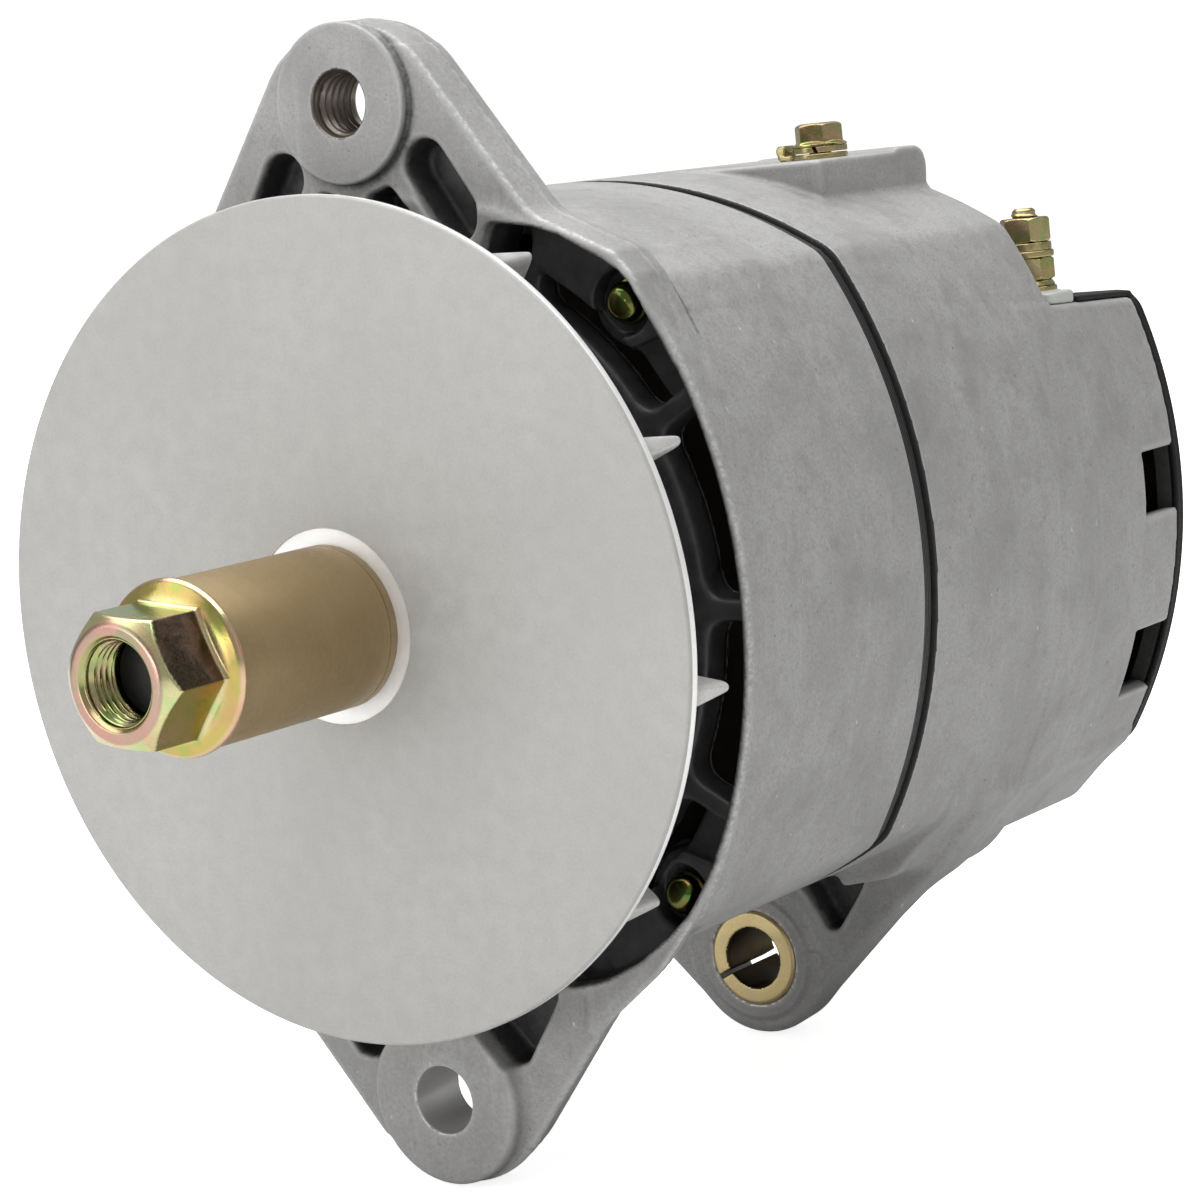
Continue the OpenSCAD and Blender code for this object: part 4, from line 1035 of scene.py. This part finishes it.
# painted highlight: a pale ring round the front edge of the hinge boss
by_vertex(rf, "wear_and_painted_highlight", lambda x, y, z, a, b, c: np.exp(-((circ(x, z, 0, -MC, 17.4)) / 0.5) ** 2) * np.exp(-((y - 134.6) / 0.6) ** 2) * 0.6)
add(rf, "housing", ["rear_frame"], "cast_frame", M["cast"], M["cast_mach"], M["seam_painted_shade"])

# the thread of the adjusting hole
V, F = helix_tube(6.42, 5.55, 1.954, YE + 0.5, YE2 - 0.4, True, 64, 8, "y", (0, MC), 0.5)
o = tidy(make("adjusting_thread", V, F), 60)
add(o, "housing", [], "cast_frame", M["thread"])

# ------------------------------------------------------------------ fan
R0 = 82.1
disc = lathe([(11.12, 0.5), (18.95, 0.5), (19.05, 0.4), (19.05, 0.12), (19.2, 0.0), (60, 0.0), (81.4, 0.0), (81.75, 0.08), (81.98, 0.28), (82.1, 0.6),
              (82.1, 2.0), (81.9, 2.45), (81.4, 2.74), (80.9, 2.8), (60, 2.8), (22.6, 2.8), (21.8, 3.0), (21.2, 3.5), (21.0, 4.3), (21.0, 15.5), (20.5, 16.0), (11.12, 16.0)], 384)
fan_disc = tidy(make("fan_disc", *disc), 30)
by_place(fan_disc, lambda x, y, z, a, b, c: np.select(
    [(np.hypot(x, z) < 19.15) & (y < 0.6), (np.hypot(x, z) > 81.7) & (y > 0.55), y > 0.6], [1, 1, 2], 0))
blade = []
sec = [(2.55, 3.3), (2.78, 2.9), (3.1, 2.45), (3.7, 2.1), (6.5, 1.84), (10, 1.5), (13.1, 1.18), (13.8, 1.02), (14.2, 0.66), (14.4, 0.22)]
loop = [(y, w) for y, w in sec] + [(y, -w) for y, w in reversed(sec)]
us = [20.4, 24, 32, 42, 52, 62, 72, 79.6, 80.6, 81.15, 81.4]
shrink = [0, 0, 0, 0, 0, 0, 0, 0, 0.12, 0.42, 0.85]
parts = []
for i in range(11):
    t = math.radians(23 + i * 360 / 11)
    c, s = math.cos(t), math.sin(t)
    V, F = [], []
    for u, q in zip(us, shrink):
        for y, w in loop:
            w2 = math.copysign(max(abs(w) - q, 0.12), w)
            y2 = min(y, 14.4 - q * 0.8)
            V.append((u * c - w2 * s, y2, u * s + w2 * c))
    m = len(loop)
    for a in range(len(us) - 1):
        for k in range(m):
            n = (k + 1) % m
            F.append((a * m + k, a * m + n, (a + 1) * m + n, (a + 1) * m + k))
    F.append(tuple(range(m)))
    F.append(tuple(range((len(us) - 1) * m, len(us) * m))[::-1])
    parts.append((V, F))
fan_blades = tidy(make("fan_blades", *join(parts)), 40)
add(fan_disc, "rotor", ["fan"], "fan_cast", M["fan"], M["fan_rim"], M["fan_back"])
add(fan_blades, "rotor", [], "fan_cast", M["fan_back"])

# ------------------------------------------------------------------ sleeve, nut
B = 0.5 - 44.1
o = tidy(make("spacer_sleeve", *lathe([(11.12, B), (15.6, B), (15.82, B + 0.08), (15.9, B + 0.3), (15.9, -1.75), (15.78, -1.66), (15.78, -1.5), (15.9, -1.41),
                                       (15.9, 0.2), (15.8, 0.5), (11.12, 0.5)], 160)), 30)
add(o, "rotor", ["shaft_sleeve"], "sleeve_tan", M["sleeve"])


def nut_body(x, y, z):
    r = np.sqrt(x * x + z * z)
    hx = hexa(x, z, 23.8, -7)
    cone = ((y - (B - 16.7)) * -3.6 + (r - 10.6) * 2.9) / 4.62
    d = smax(hx, cone, 0.35)
    d = smax(d, slab(y, B - 16.7, B - 0.4), 0.35)
    fl = smax(smax(r - 16.6, slab(y, B - 2.8, B), 0.5), ((r - 16.6) * 1.6 - (y - (B - 1.2)) * 3.6) / 3.94, 0.8)
    d = smin(d, fl, 0.9)
    d = smax(d, 8.0 - r, 0.3)
    d = smax(d, ((8.8 - r) * 1.1 - (y - (B - 16.7)) * 0.85) / 1.39, 0.25)
    return d


st = 0.36 * G
o = solid("shaft_nut_body", nut_body, axis([-17.4, (17.4, st)]), axis([B - 17.4, (B + 0.5, st)]), axis([-17.4, (17.4, st)]), 2)


def nut_tint_and_painted_reflection(x, y, z, a, b, c):
    """Passivation colours mixed with painted reflections: each flat its own tone (one nearly black, a painted dark
    reflection), paler on the chamfer and pink at the front ring, partly painted highlight.
    """
    r = np.hypot(x, z)
    n = len(x)
    col = np.tile(np.array([0.66, 0.62, 0.34]), (n, 1))

    def lay(w, rgb):
        w = np.clip(w, 0, 1)[:, None]
        return col * (1 - w) + np.array(rgb) * w
    body = ramp01(y, B - 2.2, B - 3.0)
    # one tone for each flat by its facing: painted reflection
    for deg, rgb in ((23, (0.050, 0.030, 0.028)), (83, (0.36, 0.46, 0.22)), (-37, (0.36, 0.27, 0.05)), (143, (0.30, 0.16, 0.13)), (203, (0.46, 0.40, 0.16)), (263, (0.28, 0.34, 0.16))):
        t = math.radians(deg)
        flat = ramp01(a * math.cos(t) + c * math.sin(t), 0.955, 0.99) * ramp01(r, 11.0, 11.4)
        col = lay(flat * body, rgb)
    col = lay(ramp01(y, B - 2.9, B - 2.2) * ramp01(b, 0.4, -0.2), (0.52, 0.42, 0.12))
    col = lay(ramp01(r, 15.8, 16.3) * ramp01(y, B - 2.0, B - 1.2), (0.74, 0.50, 0.34))
    col = lay(ramp01(y, B - 16.2, B - 16.5) * (b < -0.5), (0.47, 0.31, 0.26))
    col = lay(ramp01(r, 9.2, 8.6), (0.38, 0.40, 0.17))
    return col[:, 0], col[:, 1], col[:, 2]


by_vertex(o, "tint_and_painted_reflection", nut_tint_and_painted_reflection)
add(o, "rotor", ["shaft_nut"], "gold_zinc", M["nut_body"])
V, F = helix_tube(8.05, 7.15, 1.5, B - 15.9, -50.95, True, 72, 8, "y", (0, 0), 0.4)
o = tidy(make("shaft_nut_thread", V, F), 60)
add(o, "rotor", [], "gold_zinc", M["nut_bore"])

# ------------------------------------------------------------------ hinge bushing


def bushing(x, y, z):
    r = np.sqrt(x * x + (z + MC) ** 2)
    d = smax(smax(r - 10.75, slab(y, YR, YR + 19), 0.9), 6.77 - r, 0.7)
    u, w = turned(x, z + MC, -152)
    return smax(d, -smax(np.abs(w) - 0.55, -u, 0), 0.25)


st = 0.3 * G
o = solid("hinge_bushing_split", bushing, axis([-11.3, (11.3, st)]), axis([YR - 0.7, (YR + 2, st), (YR + 17, 1.5), (YR + 19.7, st)]), axis([-MC - 11.3, (-MC + 11.3, st)]), 2)
# the bore and the slit take the darkened zinc: painted shade
by_place(o, lambda x, y, z, a, b, c: np.where((np.hypot(x, z + MC) < 7.2) | ((np.abs(turned(x, z + MC, -152)[1]) < 0.65) & (np.hypot(x, z + MC) > 7) & (np.abs(b) < 0.5) & (turned(x, z + MC, -152)[0] > 0)), 1, 0))
add(o, "bushing", ["hinge_bushing"], "gold_zinc", M["gold_soft"], M["gold_bore"])

# ------------------------------------------------------------------ through bolts
parts = []
for sx in (-1, 1):
    for sz in (-1, 1):
        parts.append(lathe([(0, 24.9), (0.9, 24.92), (1.9, 25.12), (2.8, 25.6), (3.4, 26.3), (3.72, 27.2), (3.8, 28.3), (4.25, 28.5), (4.35, 28.8), (4.35, 29.7), (4.2, 30.0),
                            (2.5, 30.0), (2.5, 131.6), (2.1, 132), (0, 132)], 40, "y", (sx * C, sz * C)))
        parts.append(lathe([(2.86, 29.99), (5.6, 29.99), (5.75, 29.9), (5.75, 29.45), (5.6, 29.35), (2.86, 29.35)], 40, "y", (sx * C, sz * C)))
o = tidy(make("through_bolt_set", *join(parts[0::2])), 40)
add(o, "housing", ["through_bolts"], "gold_zinc", M["olive"])


# ------------------------------------------------------------------ ground screw and tab
GX, GY = 30.5, 144.0


def ground_head(x, y, z):
    u, v = x - GX, y - GY
    r = np.sqrt(u * u + v * v)
    hx = smax(hexa(u, v, 9.35, 12), (np.sqrt(r * r + (z - 74.0) ** 2) - 12.45), 0.3)
    hx = smax(hx, slab(z, 81.2, 85.9), 0.3)
    fl = smax(smax(r - 6.0, slab(z, 80.8, 82.0), 0.4), ((r - 6.0) * 0.9 + (z - 81.3) * 2.2) / 2.38, 0.4)
    d = smin(hx, fl, 0.5)
    dish = np.sqrt(r * r + (z - 92.2) ** 2) - 7.0
    d = smax(d, -dish, 0.3)
    return smin(d, smax(r - 2.4, slab(z, 62, 82), 0.2), 0)


def flats_painted_reflection(cx, cy, dark_reflection_at):
    """Small hexagons: painted reflections give the flats different tones, one dark and the next pink; the ends are
    pale.
    """
    def rule(x, y, z, a, b, c):
        t = np.degrees(np.arctan2(b, a))
        q = np.abs((t - dark_reflection_at + 180) % 360 - 180)
        w = np.clip(ramp01(q, 42, 22) * (np.hypot(a, b) > 0.6), 0, 1)
        w2 = np.clip(ramp01(np.abs((t - dark_reflection_at - 60 + 180) % 360 - 180), 40, 22) * (np.hypot(a, b) > 0.6), 0, 1)
        out = []
        for base, dk, pk in ((0.47, 0.09, 0.62), (0.42, 0.062, 0.54), (0.17, 0.03, 0.30)):
            v = base * (1 - w) + dk * w
            out.append(v * (1 - w2) + pk * w2)
        return tuple(out)
    return rule


st = 0.2 * G
gh = solid("ground_screw_head", ground_head, axis([GX - 6.5, (GX + 6.5, st)]), axis([GY - 6.5, (GY + 6.5, st)]), axis([61.6, (79, 1.5), (86.4, st)]), 2)
by_vertex(gh, "tint_and_painted_reflection", flats_painted_reflection(GX, GY, -48))
add(gh, "housing", ["ground_screw"], "gold_zinc", M["gold_flats"])


def split_washer(cx, cy, z0, z1, r1, r2, deg):
    def f(x, y, z):
        u, v = x - cx, y - cy
        r = np.sqrt(u * u + v * v)
        d = smax(smax(r - r2, r1 - r, 0.2), slab(z, z0, z1), 0.25)
        a, b = turned(u, v, deg)
        return smax(d, -smax(np.abs(b + 0.35 * (z - (z0 + z1) / 2)) - 0.4, -a, 0), 0.1)
    return f


def washer_piece(name, node, f, cx, cy, z0, z1, r, mat):
    st = 0.2 * G
    q = solid(name, f, axis([cx - r - 0.4, (cx + r + 0.4, st)]), axis([cy - r - 0.4, (cy + r + 0.4, st)]), axis([z0 - 0.3, (z1 + 0.3, 0.16 * G)]), 2)
    return add(q, "housing", [node], "gold_zinc", mat)


washer_piece("ground_split_washer", "ground_lock_washer", split_washer(GX, GY, 79.52, 80.78, 2.7, 5.9, -70), GX, GY, 79.5, 80.8, 5.9, M["gold"])


def tab(x, y, z):
    u, v = x - GX, y - GY
    r = np.sqrt(u * u + v * v)
    d = smin(smax(r - 5.9, 0 * z - 50, 0), smax(slab(u, -9.0, -1), np.abs(v) - 2.6, 0.4), 1.0)
    d = smax(d, slab(z, 78.2, 79.3), 0.3)
    neck = smax(smax(slab(u, -9.6, -8.0), np.abs(v) - 2.2, 0.3), slab(z, 78.6, 80.6), 0.3)
    roll = smax(np.sqrt((u + 8.6) ** 2 + (z - 80.5) ** 2) - 1.2, np.abs(v) - 2.4, 0.35)
    d = smin(d, smin(neck, roll, 0.5), 0.4)
    return smax(d, 2.7 - r, 0.2)


o = solid("ground_tab_strip", tab, axis([GX - 11.6, (GX + 6.4, 0.22 * G)]), axis([GY - 6.4, (GY + 6.4, 0.22 * G)]), axis([77.9, (81.6, 0.2 * G)]), 2)
add(o, "housing", ["ground_tab"], "gold_zinc", M["gold"])

# ------------------------------------------------------------------ output terminal
TX, TY = 60.2, 178.2


def nut_at(z0, z1, af, deg, bore=3.02):
    def f(x, y, z):
        u, v = x - TX, y - TY
        r = np.sqrt(u * u + v * v)
        d = smax(hexa(u, v, af, deg), r + np.maximum(z - z1, z0 - z) * 1.7 - af / 2 + 0.0, 0.25)
        d = smax(d, slab(z, z0, z1), 0.2)
        return smax(d, bore - r, 0.15)
    return f


for name, node, z0, z1, deg in (("output_top_nut", "output_nut", 55.3, 60.7, 8.7), ("output_lower_nut", "output_jam_nut", 46.9, 51.9, 26.0)):
    o = solid(name, nut_at(z0, z1, 10, deg), axis([TX - 6.3, (TX + 6.3, 0.2 * G)]), axis([TY - 6.3, (TY + 6.3, 0.2 * G)]), axis([z0 - 0.4, (z1 + 0.4, 0.2 * G)]), 2)
    by_vertex(o, "tint_and_painted_reflection", flats_painted_reflection(TX, TY, deg - 120 + (0 if deg < 20 else -18)))
    add(o, "housing", [node], "gold_zinc", M["gold_flats"])
washer_piece("output_split_washer", "output_lock_washer", split_washer(TX, TY, 53.42, 55.18, 3.2, 5.5, -120), TX, TY, 53.4, 55.2, 5.5, M["gold"])


def flat_washer(x, y, z):
    r = np.sqrt((x - TX) ** 2 + (y - TY) ** 2)
    return smax(smax(r - 5.9, 3.2 - r, 0.2), slab(z, 51.92, 53.38), 0.35)


washer_piece("output_flat_washer", "output_washer", flat_washer, TX, TY, 51.9, 53.4, 5.9, M["gold"])


def base_washers(x, y, z):
    r = np.sqrt((x - TX) ** 2 + (y - TY) ** 2)
    a = smax(r - 6.0, slab(z, 44.42, 45.55), 0.3)
    b = smax(r - (5.8 - 0.6 * (z - 45.6)), slab(z, 45.65, 46.88), 0.3)
    return smax(np.minimum(a, smin(b, smax(r - 4.6, slab(z, 45, 46), 0.1), 0)), 3.2 - r, 0.1)


washer_piece("output_base_washers", "stud_base_washers", base_washers, TX, TY, 44.4, 46.9, 6.0, M["gold"])

rod = lathe([(0, 19), (2.55, 19), (2.55, 62.2), (2.0, 62.75), (0, 62.8)], 48, "z", (TX, TY))
thr = helix_tube(3.0, 2.5, 1.27, 20, 62.3, False, 48, 8, "z", (TX, TY), 0.4)
hd = lathe([(0, 26.42), (5.0, 26.42), (5.3, 26.7), (5.3, 28.7), (5.0, 29.02), (0, 29.02)], 6, "z", (TX, TY))
o = tidy(make("output_stud_threaded", *join([rod, thr, hd])), 50)
add(o, "housing", ["output_stud"], "gold_zinc", M["gold"])


def block(x, y, z):
    u, v = x - TX, y - TY
    r = np.sqrt(u * u + v * v)
    d = smax(smax(slab(x, 48, 70.6), slab(y, 167.4, 179.6), 2.0), smax(z - 44.4, -ledge(y, z, 0.02), 0), 0.7)
    d = smin(d, smax(smax(r - 6.6, z - 44.4, 0.6), -ledge(y, z, 0.02), 0.1), 0.8)
    d = smin(d, smax(r - 4.9, slab(z, 36, 43), 0.2), 0)
    return smax(d, 3.05 - r, 0.1)


o = solid("terminal_insulator", block, axis([47.5, (71.1, 0.3 * G)]), axis([166.9, (185.3, 0.3 * G)]), axis([35.6, (40.6, 0.9), (44.9, 0.25 * G)]), 2)
add(o, "housing", ["stud_insulator"], "insulator", M["insulator"])


# ------------------------------------------------------------------ rear cover
def low2(x, z, t, top):
    return smax(outline(x, z, t), z - (top - 1.66), 4.5)


def cover(x, y, z):
    ax = np.abs(x)
    t = smax(low2(x, z, 0, ZL + 1.4), slab(y, 206, 207.4), 0.9)
    skin = smax(smax(low2(x, z, 0, ZL + 1.4), slab(y, 204.1, 206.6), 0.6), -low2(x, z, 1.4, ZL), 0.3)
    d = smin(t, skin, 0.6)
    top = smax(smax(np.abs(x) - 70.9, slab(y, 180, 206.3), 1.0), slab(ledge(y, z), 0.1, 1.4), 0.5)
    d = smin(d, top, 0.8)
    # swaged panel on the back
    rim = low2(x, z, 9, ZL - 8)
    d = smax(d, -smax(np.abs(rim) - 1.6, slab(y, 206.9, 210), 0.6), 0.5)
    d = smax(d, -smax(smax(rim + 4, 0, 0) + 0 * y, slab(y, 207.05, 210), 0), 0.4)
    d = smax(d, -smax(np.sqrt((x - TX) ** 2 + (y - TY) ** 2) - 8.6, 40 - z, 0), 0.3)
    sc = np.minimum(circ(ax, z, 69.3, 33.5, 1.9), circ(ax, z, 55.4, -57.5, 1.9))
    return smax(d, -sc + 0 * y, 0.1)


o = solid("rear_cover_pressing", cover, axis([-80.5, (80.5, 1.0 * G)]), axis([179.3, (181, 0.45), (203.6, 1.6), (207.9, 0.3)]), axis([-80, (36, 1.0 * G), (45.5, 0.4 * G)]), 2)
add(o, "housing", ["rear_cover"], "cover_black", M["cover"])

parts = []
for cx, cz in ((-69.3, 33.5), (69.3, 33.5), (-55.4, -57.5), (55.4, -57.5)):
    parts.append(lathe([(0, 192), (1.7, 192), (1.7, 207.4), (3.9, 207.4), (3.95, 207.6), (3.8, 208.3), (3.3, 209.0), (2.6, 209.5), (1.9, 209.75), (1.9, 208.7), (0, 208.6)], 40, "y", (cx, cz)))
o = tidy(make("cover_screw_set", *join(parts)), 35)
add(o, "housing", ["cover_screws"], "cover_black", M["cover"])

# ------------------------------------------------------------------ CAD nodes that stay
KEEP = {
    "stator_core": "core", "stator_winding": "winding", "stator_leads": "copper_bar", "rotor_shaft": "shaft_end",
    "front_pole_claw": "dark_steel", "rear_pole_claw": "dark_steel", "pole_joining_ring": "steel", "field_core": "dark_steel",
    "field_core_screws": "zinc_steel", "field_bobbin": "bobbin", "field_coil": "copper", "field_lead": "lead",
    "fan_collar": "steel", "front_bearing_outer": "bright_steel", "front_bearing_inner": "bright_steel",
    "front_bearing_balls": "bright_steel", "front_bearing_cage": "brass", "bearing_retainer": "zinc_steel",
    "retainer_screws": "zinc_steel", "rear_bearing_cup": "bright_steel", "rear_bearing_inner": "bright_steel",
    "rear_bearing_rollers": "bright_steel", "rear_bearing_cage": "brass", "cover_gasket": "gasket",
    "positive_heat_sink": "sink", "negative_heat_sink": "sink", "rectifier_diodes": "diode", "diode_trio": "plastic",
    "trio_screw": "zinc_steel", "voltage_regulator": "plastic", "regulator_screws": "zinc_steel",
    "filter_capacitor": "can", "sink_insulators": "bobbin", "sink_screws": "zinc_steel",
}
for node, m in KEEP.items():
    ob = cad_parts[node]
    if not ob.data.materials:
        ob.data.materials.append(M[m])
    for sl in ob.material_slots:
        sl.material = M[m]

# ------------------------------------------------------------------ stage and light
FLOOR = -0.1166
fm = Mat("pale_floor", (0.93, 0.93, 0.93), 0.0, 0.6)
fm.rough(fm.range(fm.noise(30, 2), 0.3, 0.7, 0.55, 0.65))
lp = fm.n.new("ShaderNodeLightPath")
fm.colour(fm.mix(lp.outputs["Is Camera Ray"], (0.80, 0.80, 0.80), (0.97, 0.97, 0.97)))
fm.b.inputs["Emission Color"].default_value = (1, 1, 1, 1)
fm.link(fm.math("MULTIPLY", lp.outputs["Is Camera Ray"], 0.80), fm.b.inputs["Emission Strength"])
V, F = [(-9000, -9000, FLOOR * 1000), (9000, -9000, FLOOR * 1000), (9000, 9000, FLOOR * 1000), (-9000, 9000, FLOOR * 1000)], [(0, 1, 2, 3)]
floor = make("studio_floor", V, F)
floor.data.materials.append(fm.m)

world = bpy.data.worlds.new("soft_white")
bpy.context.scene.world = world
world.use_nodes = True
wt = world.node_tree
bg = wt.nodes["Background"]
bg.inputs["Color"].default_value = (1, 1, 1, 1)
bg.inputs["Strength"].default_value = 0.40
seen = wt.nodes.new("ShaderNodeBackground")
seen.inputs["Color"].default_value = (1, 1, 1, 1)
seen.inputs["Strength"].default_value = 1.05
lp = wt.nodes.new("ShaderNodeLightPath")
mx = wt.nodes.new("ShaderNodeMixShader")
wt.links.new(lp.outputs["Is Camera Ray"], mx.inputs[0])
wt.links.new(bg.outputs[0], mx.inputs[1])
wt.links.new(seen.outputs[0], mx.inputs[2])
wt.links.new(mx.outputs[0], wt.nodes["World Output"].inputs["Surface"])
bpy.context.scene.view_settings.view_transform = "Standard"


def lamp(name, pos, target, size, power, colour=(1, 1, 1)):
    d = bpy.data.lights.new(name, "AREA")
    d.shape = "RECTANGLE"
    d.size, d.size_y = size
    d.energy = power
    d.color = colour
    o = bpy.data.objects.new(name, d)
    o.location = pos
    o.rotation_euler = (Vector(target) - Vector(pos)).to_track_quat("-Z", "Y").to_euler()
    bpy.context.scene.collection.objects.link(o)
    return o


lamp("top_softbox", (-0.1, 0.1, 1.6), (0, 0.1, 0), (2.4, 2.4), 53)
lamp("front_left_softbox", (-0.9, -1.3, 0.6), (0, 0.05, 0), (0.9, 1.2), 5)
lamp("right_softbox", (1.5, -0.2, 0.5), (0, 0.1, 0), (0.8, 1.2), 0.5)
lamp("low_front_softbox", (-0.35, -1.3, 0.10), (0, 0.06, -0.08), (1.0, 0.3), 3.0)
